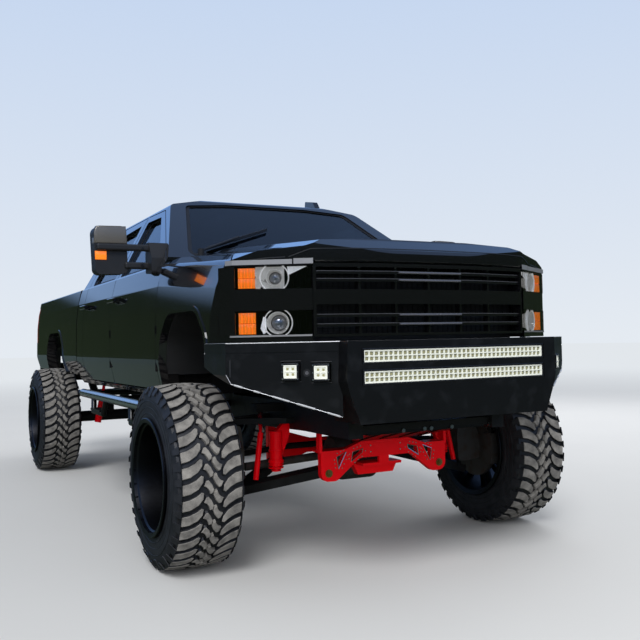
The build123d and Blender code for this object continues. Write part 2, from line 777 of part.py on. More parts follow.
def build_frame():
    inner, outer = frame_x - frame_width / 2, frame_x + frame_width / 2
    rail = prism_x(rail_rows(), inner, outer)
    # body mounts: pads under the cab and under the bed
    for y in (720, 1700, 2700):
        rail = rail + block(inner, outer, y - 38, y + 38, frame_top - 10, sill_bottom)
    for y in (2960, 4800):
        rail = rail + block(inner, outer, y - 38, y + 38, frame_top - 10, frame_top + rail_rise)
    save("frame_rails", *both(rail))
    members = []
    for y, z in ((-700, 690), (1700, 765), (2600, 745), (3400, 770), (4400, 780)):
        members.append(block(-inner, inner, y - 40, y + 40, z, z + 40))
    # the gearbox member hangs below the rails
    drop = block(-inner, inner, 1150, 1230, 590, 630) + block(-60, 60, 1150, 1230, 630, 650)
    for x in (-inner, inner - 40):
        drop = drop + block(x, x + 40, 1150, 1230, 630, 770)
    members.append(drop)
    hitch = block(-inner, inner, 4880, 4950, 750, 820)
    receiver = block(-38, 38, 4950, 5060, 750, 826) - block(-25.4, 25.4, 4800, 5061, 762.6, 813.4)
    members.append(hitch - block(-25.4, 25.4, 4800, 5061, 762.6, 813.4) + receiver)
    save("frame_crossmembers", *members)


def build_driveline():
    engine = block(-340, 340, -420, 470, 760, 1490)
    rail_in = frame_x - frame_width / 2 - run_gap
    engine = engine + block(-rail_in, rail_in, -60, 40, 768, 806)
    save("engine_block", engine)
    gearbox = block(-170, 170, 470, 1250, 650, 812) + rod((0, 1249, 730), (0, 1420, 728), 80)
    gearbox = gearbox + block(-110, -10, 1040, 1140, 585, 651)
    diff = turned([(-150, 0), (-150, 90), (-90, 150), (90, 150), (150, 90), (150, 0)], 0, 0, 500)
    diff = diff + block(-60, 60, 40, 190, 520, 640) + block(-60, 60, 40, 80, 600, 680)
    diff = diff + block(-rail_in, rail_in, 40, 80, 676, 706)
    shafts = both(rod((150.3, 0, 498), (668, 0, axle_z + 6), 22))
    rear_shaft = rod((0, 1424, 726), (0, wheelbase - 222, 520), 48)
    front_shaft = rod((-60, 1039.7, 618), (-10, 190.5, 600), 28)
    save("driveline", gearbox, diff, *shafts, rear_shaft, front_shaft)


def build_rear_axle():
    tube = rod((-825, wheelbase, axle_z), (825, wheelbase, axle_z), 50)
    pumpkin = turned([(-130, 0), (-130, 80), (-70, 165), (70, 165), (130, 80), (130, 0)], 0, wheelbase, axle_z)
    nose = rod((0, wheelbase - 112, 510), (0, wheelbase - 221.7, 520), 55)
    axle = tube + pumpkin + nose + hub(wheelbase) + mirror(hub(wheelbase), about=Plane.YZ)
    save("rear_axle", axle)
    leaf_low, leaf_high = axle_z + 92, axle_z + 142
    x0, x1 = 470, 540
    pack = prism_x([
        (3180, 740, 0), (3300, leaf_high + 70, 200), (wheelbase, leaf_high, 900), (4500, leaf_high + 80, 200),
        (4640, 760, 0), (4640, 738, 0), (4500, leaf_low + 90, 200), (wheelbase, leaf_low, 900),
        (3300, leaf_low + 80, 200), (3180, 716, 0),
    ], x0, x1)
    block_under = block(x0 - 6, x1 + 6, wheelbase - 70, wheelbase + 70, axle_z + 30, leaf_low + 16)
    front_eye = rod((x0, 3180, 728), (x1, 3180, 728), 34)
    shackle = block(x0 + 4, x1 - 4, 4618, 4662, 740, 850)
    rail_side = frame_x + frame_width / 2 + run_gap
    hanger = block(rail_side, x0 + 6, 3140, 3220, 700, 800) + block(rail_side, x0 + 6, 4600, 4680, 790, 860)
    spring = (pack + front_eye + shackle + hanger + block_under) - tube
    save("leaf_springs", *both(spring))


def build_exhaust_and_tank():
    # the pipe runs above the axle and leaves behind the right rear wheel
    x, z = -256, 688
    route = [(x, 386, z), (x, 4350, z), (x - 44, 4560, 650), (-640, 4880, 636), (-760, 5040, 636)]
    pipe = rod((x, 420, z), (x, 420, 759.7), pipe_radius)
    for start, end in zip(route, route[1:]):
        pipe = pipe + rod(start, end, pipe_radius)
    for corner in route[1:-1]:
        pipe = pipe + Pos(*corner) * Sphere(pipe_radius)
    pipe = pipe + block(frame_width / 2 - frame_x, x, 3100, 3124, z + 6, z + 18)
    muffler = fillet(block(x - 110, x + 64, 1260, 1650, z - 80, z + 72).edges(), 40)
    tail = rod((-700, 4960, 636), (-760, 5040, 636), pipe_radius - 3)
    save("exhaust", pipe + muffler - tail)
    save("fuel_tank", fillet(block(110, frame_x - frame_width / 2 - run_gap, 1770, 2540, 560, 806).edges(), 30))


def build_interior():
    dash_half = 822
    dash = prism_x([
        (cowl_y + wall + run_gap, 1340, 0), (cowl_y + wall + run_gap, 1560, 0), (640, 1600, 30), (820, 1560, 60), (860, 1430, 50), (760, 1300, 30)
    ], -dash_half, dash_half)
    # the column ends just short of the wheel's hub, along the wheel's axis
    column = rod((400, 800, 1418.3), (400, 975.5, 1475.3), 34)
    console = fillet(block(-150, 150, 880, 1500, sill_bottom + 50 + seat_gap, 1180).edges(), 30)
    save("dashboard", dash + column, console)
    ring = Torus(185, 16) + Cylinder(50, 30)
    for angle in (0, 120, 240):
        ring = ring + Rot(0, 0, angle + 90) * Pos(110, 0, 0) * Box(150, 26, 16)
    save("steering_wheel", Pos(400, 990, 1480) * Rot(-72, 0, 0) * ring)
    floor_top = sill_bottom + 50
    seats = []
    frames = []
    for x in (-430, 430):
        seats.append(fillet(block(x - 250, x + 250, 1000, 1470, 960, 1190).edges(), 40))
        seats.append(padded_prism(front_back_rows, x, 250))
        seats.append(padded_prism(front_rest_rows, x, 130))
        frames.append(block(x - 210, x + 210, 1050, 1420, floor_top + seat_gap, 960 - seat_gap))
    save("front_seats", *seats)
    bench = fillet(block(-700, 700, 1980, 2440, 940, 1180).edges(), 40)
    back = padded_prism(rear_back_rows, 0, 690)
    rests = [padded_prism(rear_rest_rows, x, 130) for x in (-450, 450)]
    save("rear_seat", bench, back, *rests)
    frames.append(block(-640, 640, 2030, 2390, floor_top + seat_gap, 940 - seat_gap))
    save("seat_frames", *frames)


# Seat backs and headrests in side view: (y, z, radius)
front_back_rows = [(1392, 1190 + seat_gap, 0), (1510, 1190 + seat_gap, 30), (1650, 1750, 30), (1545, 1750, 30)]
front_rest_rows = [
    (1565, 1750 + seat_gap, 0), (1635, 1750 + seat_gap, 0), (1672, 1930, 30), (1590, 1930, 30)
]
rear_back_rows = [(2372, 1180 + seat_gap, 0), (2500, 1180 + seat_gap, 30), (2600, 1720, 30), (2505, 1720, 30)]
rear_rest_rows = [
    (2520, 1720 + seat_gap, 0), (2585, 1720 + seat_gap, 0), (2604, 1860, 30), (2536, 1860, 30)
]


def padded_prism(rows, x, half):
    return prism_x(rows, x - half, x + half)


def build_bed():
    side_rows = lower_side(0)[:-1] + [
        (half_width - 50, rail_top - 4, 10), (half_width - 60, rail_top, 0),
        (half_width - 176, rail_top, 0), (half_width - 176, bed_floor_top - 60, 0),
        (half_width - 130, bed_floor_top - 60, 0), (half_width - 130, sill_bottom + 60, 0),
    ]
    side_rows[0] = (half_width - 62, sill_bottom + 60, 0)
    side_rows[1] = (half_width - 34, sill_bottom + 80, 20)
    side = prism_y(side_rows, bed_front_y, bed_back_y)
    arch = prism_x(arch_rows(wheelbase, rear_arch_half, rear_arch_top, 700), 700, 1200)
    side = side - arch
    lamp = block(900, 1100, bed_back_y - 70, bed_back_y + 5, 1180, 1540)
    gate_room = block(-gate_half - 3, gate_half + 3, tailgate_front_y - 3, bed_back_y + 5, bed_floor_top - 28, rail_top + 10)
    side = side - lamp - gate_room
    side = side + rod((gate_half - 12, gate_hinge_y, gate_hinge_z), (gate_half + 12, gate_hinge_y, gate_hinge_z), gate_pin)
    lip_rows = lower_side(-lip_proud) + list(reversed(lower_side(panel)))
    lip = prism_y(lip_rows, bed_front_y, bed_back_y) & arch_lip(wheelbase, rear_arch_half, rear_arch_top)
    side = side + (lip & block(700, 1100, bed_front_y, bed_back_y, sill_bottom + 60, rail_top))
    save("bed_sides", *both(side))
    lamp_body = prism_y(lower_side(2)[2:] + [(half_width - 58, 1560), (900.3, 1560), (900.3, 1030)],
                        bed_back_y - 69.7, bed_back_y - 2) & block(900, 1100, 4800, 5100, 1180.3, 1539.7)
    save("tail_lamps", *both(lamp_body))
    inner_x = half_width - 176
    floor = block(-inner_x, inner_x, bed_front_y, 4904, bed_floor_top - 60, bed_floor_top)
    front = block(-inner_x, inner_x, bed_front_y, bed_front_y + 60, bed_floor_top, rail_top - 20)
    house_rows = [
        (wheelbase - 440, bed_floor_top - 60), (wheelbase - 380, 1250, 80), (wheelbase + 380, 1250, 80),
        (wheelbase + 440, bed_floor_top - 60),
    ]
    house_hollow = [
        (wheelbase - 430, bed_floor_top - 70), (wheelbase - 368, 1238, 74), (wheelbase + 368, 1238, 74),
        (wheelbase + 430, bed_floor_top - 70),
    ]
    house = prism_x(house_rows, 640, inner_x) - prism_x(house_hollow, 652, inner_x + 1)
    floor = floor - prism_x(house_hollow, 652, inner_x + 1) - prism_x(house_hollow, -inner_x - 1, -652)
    sills = None
    for y in (2960, 3440, 4220, 4800):
        sill = block(-540, 540, y - 40, y + 40, frame_top + rail_rise, bed_floor_top - 60)
        sills = sill if sills is None else sills + sill
    save("bed_box", floor + front + house + mirror(house, about=Plane.YZ) + sills)
    gate = block(-gate_half, gate_half, tailgate_front_y, bed_back_y, bed_floor_top - 10, rail_top - 6)
    for x in (-gate_half, gate_half - 15):
        gate = gate - rod((x, gate_hinge_y, gate_hinge_z), (x + 15, gate_hinge_y, gate_hinge_z), gate_pin + run_gap)
    recess = block(-640, 640, bed_back_y - 12, bed_back_y + 5, 1190, 1470)
    pull = block(-120, 120, bed_back_y - 30, bed_back_y + 5, 1490, 1550)
    spoiler = prism_x([(bed_back_y - 30, 1594), (bed_back_y - 2, 1594), (bed_back_y + 14, 1606),
                       (bed_back_y - 30, 1606)], -880, 880)
    save("tailgate", gate - recess - pull + spoiler)


def build_rear_bumper():
    beam_rows = [
        (5000, 960, 0), (rear_end - 20, 960, 20), (rear_end, 920, 20), (rear_end, 800, 20), (rear_end - 60, 770, 10),
        (5000, 770, 0),
    ]
    beam = prism_x(beam_rows, -960, 960)
    plan = [(-980, 4990), (980, 4990), (960, 5060, 30), (860, rear_end + 1, 60), (-860, rear_end + 1, 60),
            (-960, 5060, 30)]
    beam = beam & prism_z(plan, 700, 1100)
    beam = beam - block(-170, 170, rear_end - 30, rear_end + 5, 830, 930) - block(-60, 60, 4990, 5120, 740, 840)
    arms = both(block(frame_x - 38, frame_x + 38, 4960, 5001, 780, 860))
    for arm in arms:
        beam = beam + arm
    save("rear_bumper", beam)


def build_steps():
    tube_z, x = 765, 1000
    bar = rod((x, 620, tube_z), (x, 2560, tube_z), 32)
    for y in (860, 1960):
        hoop = rod((x, y - 210, tube_z), (x + 12, y - 160, 650), 20) \
            + rod((x + 12, y - 160, 650), (x + 12, y + 160, 650), 20) \
            + rod((x + 12, y + 160, 650), (x, y + 210, tube_z), 20) \
            + Sphere(20).moved(Location((x + 12, y - 160, 650))) \
            + Sphere(20).moved(Location((x + 12, y + 160, 650)))
        tread = block(x - 34, x + 40, y - 150, y + 150, 662, 676)
        bar = bar + hoop + tread
    for y in (760, 1640, 2440):
        bar = bar + rod((x, y, tube_z), (frame_x + frame_width / 2 + 0.6, y, 758), 20)
    save("step_bars", *both(bar))


def build_liners():
    ring = prism_x(arch_rows(front_arch_y, front_arch_half + 12, front_arch_top + 12, 780), 520, 960)
    ring = ring - prism_x(arch_rows(front_arch_y, front_arch_half, front_arch_top, 760), 519, 961)
    ring = (ring & block(500, 960, -600, cowl_y - 7, 960, 1400)) - bumper_room()
    ring = ring - block(876, 970, cowl_y - 54, cowl_y, 700, 1600)
    ring = ring & nose_form(panel + run_gap, panel + run_gap, panel + run_gap)
    save("wheel_liners", *both(ring))


# Tow mirror, front view: (x, z, radius)
mirror_head_rows = [
    (1100, 1556, 34), (1288, 1548, 34), (1298, 1800, 44), (1282, 1832, 34), (1108, 1836, 34),
]
mirror_glass_rows = [(1114, 1572, 20), (1276, 1566, 20), (1284, 1812, 26), (1120, 1820, 26)]
mirror_front = 700
mirror_back = 802
mirror_outer = 1284            # outer end of the arm that wraps the head
arm_height = 40


def build_mirrors():
    # a flat upper arm wraps the head, a lower arm meets its edge, and the foot lies on the door
    head = prism_y(mirror_head_rows, mirror_front, mirror_back)
    head = head - prism_y(mirror_glass_rows, mirror_back - 12, mirror_back + 1)
    root = half_width - 70
    upper = fillet(block(root, mirror_outer, mirror_front - 28, mirror_front + 4, 1688, 1688 + arm_height).edges(), 12)
    lower = fillet(block(root, 1120, mirror_front - 16, mirror_front + 30, 1584, 1584 + arm_height).edges(), 12)
    foot = prism_x([
        (616, 1548, 20), (616, 1650, 20), (676, 1742, 20), (748, 1742, 20), (748, 1560, 20)
    ], half_width - 150, half_width - 18)
    shape = head + upper + lower + foot - cab_form(-run_gap, -run_gap, 0)
    save("mirror_left", shape)
    save("mirror_right", mirror(shape, about=Plane.YZ))


build_cab()
build_doors()
build_nose()
build_bumper()
build_lights()
build_wheels()
build_front_suspension()
build_skid()
build_frame()
build_driveline()
build_rear_axle()
build_exhaust_and_tank()
build_interior()
build_bed()
build_rear_bumper()
build_steps()
build_liners()
build_mirrors()
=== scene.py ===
import json
from math import cos, pi, radians, sin
import bpy
import bmesh
from mathutils import Matrix, Vector
from mathutils.bvhtree import BVHTree

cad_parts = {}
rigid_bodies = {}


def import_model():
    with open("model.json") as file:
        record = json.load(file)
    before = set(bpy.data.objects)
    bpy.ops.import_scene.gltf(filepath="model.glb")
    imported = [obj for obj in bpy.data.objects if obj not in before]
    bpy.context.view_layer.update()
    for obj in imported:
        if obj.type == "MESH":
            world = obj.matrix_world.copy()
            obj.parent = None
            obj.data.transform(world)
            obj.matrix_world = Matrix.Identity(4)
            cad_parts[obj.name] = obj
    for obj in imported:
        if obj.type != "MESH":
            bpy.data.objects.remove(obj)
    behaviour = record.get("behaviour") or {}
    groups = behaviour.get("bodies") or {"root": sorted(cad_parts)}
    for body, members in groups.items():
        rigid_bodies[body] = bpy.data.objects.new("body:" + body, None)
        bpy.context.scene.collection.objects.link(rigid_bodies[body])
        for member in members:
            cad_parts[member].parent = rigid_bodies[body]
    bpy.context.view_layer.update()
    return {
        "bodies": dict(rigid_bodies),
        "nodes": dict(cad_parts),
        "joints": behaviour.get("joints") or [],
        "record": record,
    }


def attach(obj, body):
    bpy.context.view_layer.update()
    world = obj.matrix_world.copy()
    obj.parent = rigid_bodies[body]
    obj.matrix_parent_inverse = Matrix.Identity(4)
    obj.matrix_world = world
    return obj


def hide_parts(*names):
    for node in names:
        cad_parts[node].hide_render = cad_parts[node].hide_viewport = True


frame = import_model()
nodes = frame["nodes"]
scene = bpy.context.scene
print("frame loaded:", len(nodes), "nodes")


# Camera: stands at the front right corner, low, as the photograph was taken
cameraData = {"place": (-2.299, -6.095, 1.133), "yaw": 27.47, "pitch": 1.51, "roll": -1.22, "lens": 45.57,
              "sensor": 36, "near": 0.05, "far": 200}


def newObject(name, data):
    piece = bpy.data.objects.new(name, data)
    scene.collection.objects.link(piece)
    return piece


def makeCamera():
    data = bpy.data.cameras.new("viewCamera")
    data.lens = cameraData["lens"]
    data.sensor_width = cameraData["sensor"]
    data.clip_start = cameraData["near"]
    data.clip_end = cameraData["far"]
    camera = newObject("viewCamera", data)
    yaw, pitch, roll = (radians(cameraData[key]) for key in ("yaw", "pitch", "roll"))
    ahead = Vector((sin(yaw) * cos(pitch), cos(yaw) * cos(pitch), sin(pitch)))
    level = Vector((cos(yaw), -sin(yaw), 0))
    upward = level.cross(ahead)
    right = level * cos(roll) + upward * sin(roll)
    up = right.cross(ahead)
    turn = Matrix((right, up, -ahead)).transposed()
    camera.matrix_world = Matrix.Translation(cameraData["place"]) @ turn.to_4x4()
    scene.camera = camera


makeCamera()
print("camera placed")


# Shader sums: a Wire is one socket, and adds Math nodes when it takes part in a sum
class Wire:
    def __init__(self, tree, socket):
        self.tree = tree
        self.socket = socket

    def join(self, operation, first, second):
        return addNode(self.tree, "ShaderNodeMath", {"operation": operation}, {0: first, 1: second})

    def __add__(self, other):
        return self.join("ADD", self, other)

    def __radd__(self, other):
        return self.join("ADD", other, self)

    def __sub__(self, other):
        return self.join("SUBTRACT", self, other)

    def __rsub__(self, other):
        return self.join("SUBTRACT", other, self)

    def __mul__(self, other):
        return self.join("MULTIPLY", self, other)

    def __rmul__(self, other):
        return self.join("MULTIPLY", other, self)

    def clamp(self):
        return addNode(self.tree, "ShaderNodeClamp", {}, {"Value": self})


def opaque(color):
    return (*color, 1) if isinstance(color, tuple) else color


def addNode(tree, kind, settings, inputs, output=0):
    node = tree.nodes.new(kind)
    for key, value in settings.items():
        if key == "stops":
            ramp = node.color_ramp
            while len(ramp.elements) < len(value):
                ramp.elements.new(0.5)
            for element, (place, color) in zip(ramp.elements, value):
                element.position = place
                element.color = opaque(color)
        else:
            setattr(node, key, value)
    for key, value in inputs.items():
        if isinstance(value, Wire):
            tree.links.new(value.socket, node.inputs[key])
        else:
            node.inputs[key].default_value = value
    return Wire(tree, node.outputs[output])


def newMaterial(name, fixed):
    material = bpy.data.materials.new(name)
    material.use_nodes = True
    tree = material.node_tree
    shader = tree.nodes["Principled BSDF"]
    for key, value in fixed.items():
        shader.inputs[key].default_value = opaque(value)
    material.diffuse_color = opaque(fixed["Base Color"])
    return material, tree, shader


def objectPoint(tree):
    return addNode(tree, "ShaderNodeTexCoord", {}, {}, "Object")


def noiseAt(tree, size, detail):
    inputs = {"Vector": objectPoint(tree), "Scale": 1 / size, "Detail": detail}
    return addNode(tree, "ShaderNodeTexNoise", {}, inputs)


def bandsAlong(tree, axis, scale):
    inputs = {"Vector": objectPoint(tree), "Scale": scale}
    return addNode(tree, "ShaderNodeTexWave", {"bands_direction": axis}, inputs, 1)


def blendColors(tree, amount, first, second):
    # 6 and 7 are the Mix node's colour inputs, 2 its colour output
    inputs = {0: amount, 6: opaque(first), 7: opaque(second)}
    return addNode(tree, "ShaderNodeMix", {"data_type": "RGBA"}, inputs, 2)


def feed(tree, shader, key, wire):
    tree.links.new(wire.socket, shader.inputs[key])


def bumpFrom(tree, shader, height, distance, strength):
    feed(tree, shader, "Normal", addNode(tree, "ShaderNodeBump", {}, {
        "Height": height, "Distance": distance, "Strength": strength}))


def lightPath(tree, kind):
    return addNode(tree, "ShaderNodeLightPath", {}, {}, f"Is {kind} Ray")


def ramped(tree, value, low, high, top=1.0, kind="LINEAR"):
    # 0 up to low, top from high on
    return addNode(tree, "ShaderNodeMapRange", {"interpolation_type": kind}, {
        "Value": value, "From Min": low, "From Max": high, "To Min": 0.0, "To Max": top})


def heightMask(tree, low, high):
    # 0 below low, 1 above high, by height over the ground
    return ramped(tree, addNode(tree, "ShaderNodeSeparateXYZ", {}, {0: objectPoint(tree)}, "Z"), low, high)


# Body paint: fine flakes under clear coat, and road dust on the lower panels
paintData = {"base": (0.004, 0.004, 0.005), "dark": (0.003, 0.003, 0.004), "flake": (0.012, 0.012, 0.014),
             "flakeSize": 0.0016, "flakeShare": 0.25, "dust": (0.10, 0.085, 0.065), "dustSize": 0.35,
             "dustFades": (0.8, 1.05), "dustShare": 0.14, "roughness": 0.1}
# Sizes in metres of the patches in which the other finishes wear, get dirty, stain or rust
patchSizes = {"wear": 0.12, "dirt": 0.09, "stain": 0.08, "rust": 0.05, "smear": 0.14, "grime": 0.045}


def bodyPaint(name):
    material, tree, shader = newMaterial(name, {
        "Base Color": paintData["base"], "Roughness": 0.12, "Specular IOR Level": 0.5, "Coat Weight": 1.0,
        "Coat Roughness": 0.01, "Coat IOR": 1.6})
    flake = noiseAt(tree, paintData["flakeSize"], 2)
    dust = (1 - heightMask(tree, *paintData["dustFades"])) * noiseAt(tree, paintData["dustSize"], 5)
    dusty = (dust * paintData["dustShare"]).clamp()
    flakes = (flake * paintData["flakeShare"]).clamp()
    flecked = blendColors(tree, flakes, paintData["dark"], paintData["flake"])
    feed(tree, shader, "Base Color", blendColors(tree, dusty, flecked, paintData["dust"]))
    feed(tree, shader, "Roughness", dusty * 1.2 + paintData["roughness"])
    return material


def grainedPlastic(name, color, grain, roughness, wear=0.3, shine=0.5):
    material, tree, shader = newMaterial(name, {
        "Base Color": color, "Roughness": roughness, "Specular IOR Level": shine})
    fine = noiseAt(tree, grain, 3)
    broad = noiseAt(tree, patchSizes["wear"], 4)
    lighter = tuple(min(1, part * 1.9 + 0.012) for part in color)
    feed(tree, shader, "Base Color", blendColors(tree, (broad * wear).clamp(), color, lighter))
    feed(tree, shader, "Roughness", broad * 0.16 + (roughness - 0.08))
    bumpFrom(tree, shader, fine, grain * 0.35, 0.5)
    return material


def powderCoat(name, color, roughness, coat=0.0, grain=0.0028, dirtAmount=0.2, shine=0.35):
    material, tree, shader = newMaterial(name, {
        "Base Color": color, "Roughness": roughness, "Specular IOR Level": shine, "Coat Weight": coat,
        "Coat Roughness": 0.12})
    peel = noiseAt(tree, grain, 2)
    dirtMask = ramped(tree, noiseAt(tree, patchSizes["dirt"], 6), 0.52, 0.72, dirtAmount)
    dull = tuple(part * 0.7 + 0.025 for part in color)
    feed(tree, shader, "Base Color", blendColors(tree, dirtMask, color, dull))
    feed(tree, shader, "Roughness", dirtMask * 0.8 + roughness)
    bumpFrom(tree, shader, peel, 0.0004, 0.35)
    return material


def metalFinish(name, color, roughness, metal=1.0):
    fixed = {"Base Color": color, "Metallic": metal, "Roughness": roughness}
    material, tree, shader = newMaterial(name, fixed)
    brushed = noiseAt(tree, 0.01, 4)
    stain = noiseAt(tree, patchSizes["stain"], 5)
    darker = tuple(part * 0.72 for part in color)
    feed(tree, shader, "Base Color", blendColors(tree, (stain * 0.5).clamp(), color, darker))
    feed(tree, shader, "Roughness", brushed * 0.18 + (roughness - 0.06))
    bumpFrom(tree, shader, brushed, 0.0002, 0.3)
    return material


def castMetal(name, color, roughness):
    fixed = {"Base Color": color, "Metallic": 0.7, "Roughness": roughness}
    material, tree, shader = newMaterial(name, fixed)
    rough = noiseAt(tree, 0.004, 5)
    rust = ramped(tree, noiseAt(tree, patchSizes["rust"], 7), 0.5, 0.68, 0.6)
    feed(tree, shader, "Base Color", blendColors(tree, rust, color, (0.085, 0.05, 0.032)))
    feed(tree, shader, "Roughness", rough * 0.25 + (roughness - 0.1))
    bumpFrom(tree, shader, rough, 0.0012, 0.5)
    return material


def tintedGlass(name, color):
    material, tree, shader = newMaterial(name, {
        "Base Color": color, "Roughness": 0.0, "IOR": 1.5, "Transmission Weight": 1.0,
        "Specular IOR Level": 0.5})
    feed(tree, shader, "Roughness", noiseAt(tree, patchSizes["smear"], 4) * 0.02)
    return material


def treadRubber(name, top, base, roughness):
    material, tree, shader = newMaterial(name, {"Base Color": base, "Roughness": roughness})
    grime = noiseAt(tree, patchSizes["grime"], 6)
    fine = noiseAt(tree, 0.0035, 4)
    mask = ramped(tree, grime * 0.7 + fine * 0.3, 0.34, 0.66)
    feed(tree, shader, "Base Color", blendColors(tree, mask, base, top))
    feed(tree, shader, "Roughness", fine * 0.15 + (roughness - 0.08))
    bumpFrom(tree, shader, fine, 0.0008, 0.45)
    return material


def seatCloth(name):
    material, tree, shader = newMaterial(name, {
        "Base Color": (0.03, 0.03, 0.034), "Roughness": 0.9, "Sheen Weight": 0.35, "Sheen Roughness": 0.5})
    weave = bandsAlong(tree, "X", 160.0) * bandsAlong(tree, "Z", 160.0)
    feed(tree, shader, "Base Color", blendColors(tree, weave, (0.018, 0.018, 0.021), (0.06, 0.06, 0.066)))
    bumpFrom(tree, shader, weave, 0.0006, 0.5)
    return material


def glowingLens(name, color, glow):
    material, tree, shader = newMaterial(name, {
        "Base Color": color, "Roughness": 0.18, "Coat Weight": 0.6, "Coat Roughness": 0.05,
        "Emission Color": color, "Emission Strength": glow})
    ribs = bandsAlong(tree, "X", 60.0)
    dim = tuple(part * 0.62 for part in color)
    feed(tree, shader, "Base Color", blendColors(tree, ribs, color, dim))
    bumpFrom(tree, shader, ribs, 0.0006, 0.4)
    return material


finishRows = {  # name: maker, colour and what else the maker takes
    "bodyPaint": (bodyPaint,),
    "trimBlack": (grainedPlastic, (0.012, 0.012, 0.013), 0.0022, 0.5),
    "satinBlack": (grainedPlastic, (0.006, 0.006, 0.007), 0.0015, 0.28, 0.15),
    "cabinPlastic": (grainedPlastic, (0.022, 0.022, 0.024), 0.0025, 0.6),
    "powderBlack": (powderCoat, (0.004, 0.004, 0.0045), 0.3, 0.15),
    "frameBlack": (powderCoat, (0.008, 0.0078, 0.0078), 0.5),
    "liftRed": (powderCoat, (0.90, 0.0, 0.006), 0.3, 0.12, 0.0028, 0.08, 0.12),
    "windowTint": (tintedGlass, (0.13, 0.14, 0.15)),
    "lampClear": (tintedGlass, (0.96, 0.97, 0.98)),
    "lampAmber": (glowingLens, (1.0, 0.22, 0.012), 0.62),
    "lampRing": (glowingLens, (0.86, 0.87, 0.89), 0.45),
    "lampDark": (grainedPlastic, (0.004, 0.004, 0.005), 0.002, 0.8, 0.1, 0.0),
    "lampRed": (glowingLens, (0.5, 0.008, 0.008), 0.02),
    # the bowls and the reverse lenses glow: painted brightness in place of reflected light
    "lampBowl": (glowingLens, (0.62, 0.61, 0.59), 0.28),
    "projectorEye": (metalFinish, (0.36, 0.37, 0.40), 0.22, 0.7),
    "sealRubber": (grainedPlastic, (0.008, 0.008, 0.009), 0.0018, 0.55),
    "satinTrim": (metalFinish, (0.34, 0.34, 0.35), 0.3, 0.4),
    "darkChrome": (metalFinish, (0.16, 0.16, 0.18), 0.22, 0.5),
    # light metal for the rods that paint highlights and glints along the bumper's edges
    "edgeLine": (metalFinish, (0.62, 0.63, 0.66), 0.3, 0.3),
    "grilleShade": (grainedPlastic, (0.002, 0.002, 0.002), 0.002, 0.6, 0.05),
    "ledWhite": (powderCoat, (0.82, 0.84, 0.76), 0.3, 0.3),
    "ledCup": (grainedPlastic, (0.03, 0.035, 0.03), 0.002, 0.35),
    "ledChip": (glowingLens, (0.42, 0.40, 0.22), 0.0),
    "treadTop": (treadRubber, (0.31, 0.295, 0.275), (0.11, 0.105, 0.10), 0.85),
    "sidewall": (treadRubber, (0.022, 0.023, 0.027), (0.009, 0.009, 0.011), 0.55),
    "wheelDark": (metalFinish, (0.045, 0.046, 0.052), 0.34),
    "castIron": (castMetal, (0.1, 0.095, 0.09), 0.55),
    "steelPlain": (metalFinish, (0.42, 0.42, 0.43), 0.36),
    "polished": (metalFinish, (0.78, 0.79, 0.81), 0.14),
    "goldBolt": (metalFinish, (0.62, 0.46, 0.16), 0.3),
    "mirrorGlass": (metalFinish, (0.8, 0.82, 0.84), 0.05),
    "bronzeCap": (metalFinish, (0.20, 0.185, 0.165), 0.28, 0.5),
    "seatCloth": (seatCloth,),
}
finishes = {name: row[0](name, *row[1:]) for name, row in finishRows.items()}
print("finishes:", len(finishes))

nodeFinish = {
    "trimBlack": ["wheel_liners", "radiator", "bed_box", "fuel_tank", "mirror_left", "mirror_right"],
    "powderBlack": ["front_bumper", "rear_bumper", "skid_plate"],
    "frameBlack": ["frame_rails", "frame_crossmembers", "control_arms", "rear_axle", "leaf_springs",
                   "steering_rod"],
    "liftRed": ["lift_crossmember", "bump_stops", "shock_absorbers"],
    "castIron": ["engine_block", "driveline", "knuckle_left", "knuckle_right"],
    "steelPlain": ["exhaust"],
    "polished": ["step_bars"],
    "windowTint": ["fixed_glass", "front_door_glass_left", "front_door_glass_right", "rear_door_glass_left",
                   "rear_door_glass_right"],
    "cabinPlastic": ["dashboard", "steering_wheel", "seat_frames"],
    "seatCloth": ["front_seats", "rear_seat"],
    "lampRed": ["tail_lamps"],
    "lampClear": ["headlamps"],
    "satinBlack": ["light_bars"],
}
finishOf = {node: finish for finish, members in nodeFinish.items() for node in members}
for name, piece in nodes.items():
    finish = finishOf.get(name, "bodyPaint")
    if name.startswith("rim_"):
        finish = "wheelDark"
    if name.startswith("tyre_"):
        finish = "sidewall"
    piece.data.materials.clear()
    piece.data.materials.append(finishes[finish])
print("CAD nodes painted")


# Small mesh tools; every shape comes from bmesh operators
mergeReach = 1e-5  # metres between two vertices that are one
sideSigns = (("left", 1), ("right", -1))


def newMeshes(count):
    return [bmesh.new() for _ in range(count)]


def meshData(mesh, name):
    data = bpy.data.meshes.new(name)
    mesh.to_mesh(data)
    mesh.free()
    return data


def nodeCopy(node):
    mesh = bmesh.new()
    mesh.from_mesh(nodes[node].data)
    bmesh.ops.remove_doubles(mesh, verts=mesh.verts, dist=mergeReach)
    return mesh


def vertsIn(made):
    return [item for item in made if isinstance(item, bmesh.types.BMVert)]


def facesIn(made):
    return [item for item in made if isinstance(item, bmesh.types.BMFace)]


def addLine(mesh, points):
    verts = [mesh.verts.new(point) for point in points]
    return verts, [mesh.edges.new(pair) for pair in zip(verts, verts[1:])]


def turnSince(mesh, before, angle):
    # turns the vertices made since before about the axle
    mesh.verts.ensure_lookup_table()
    bmesh.ops.rotate(mesh, cent=(0, 0, 0), matrix=Matrix.Rotation(angle, 3, "X"), verts=mesh.verts[before:])


def addBlock(mesh, low, high, edge=0.0, steps=2):
    size = [b - a for a, b in zip(low, high)]
    centre = [(a + b) / 2 for a, b in zip(low, high)]
    matrix = Matrix.Translation(centre) @ Matrix.Diagonal((*size, 1))
    made = bmesh.ops.create_cube(mesh, size=1, matrix=matrix)["verts"]
    if edge:
        bevelEdges(mesh, edgesAt(made), edge, steps)


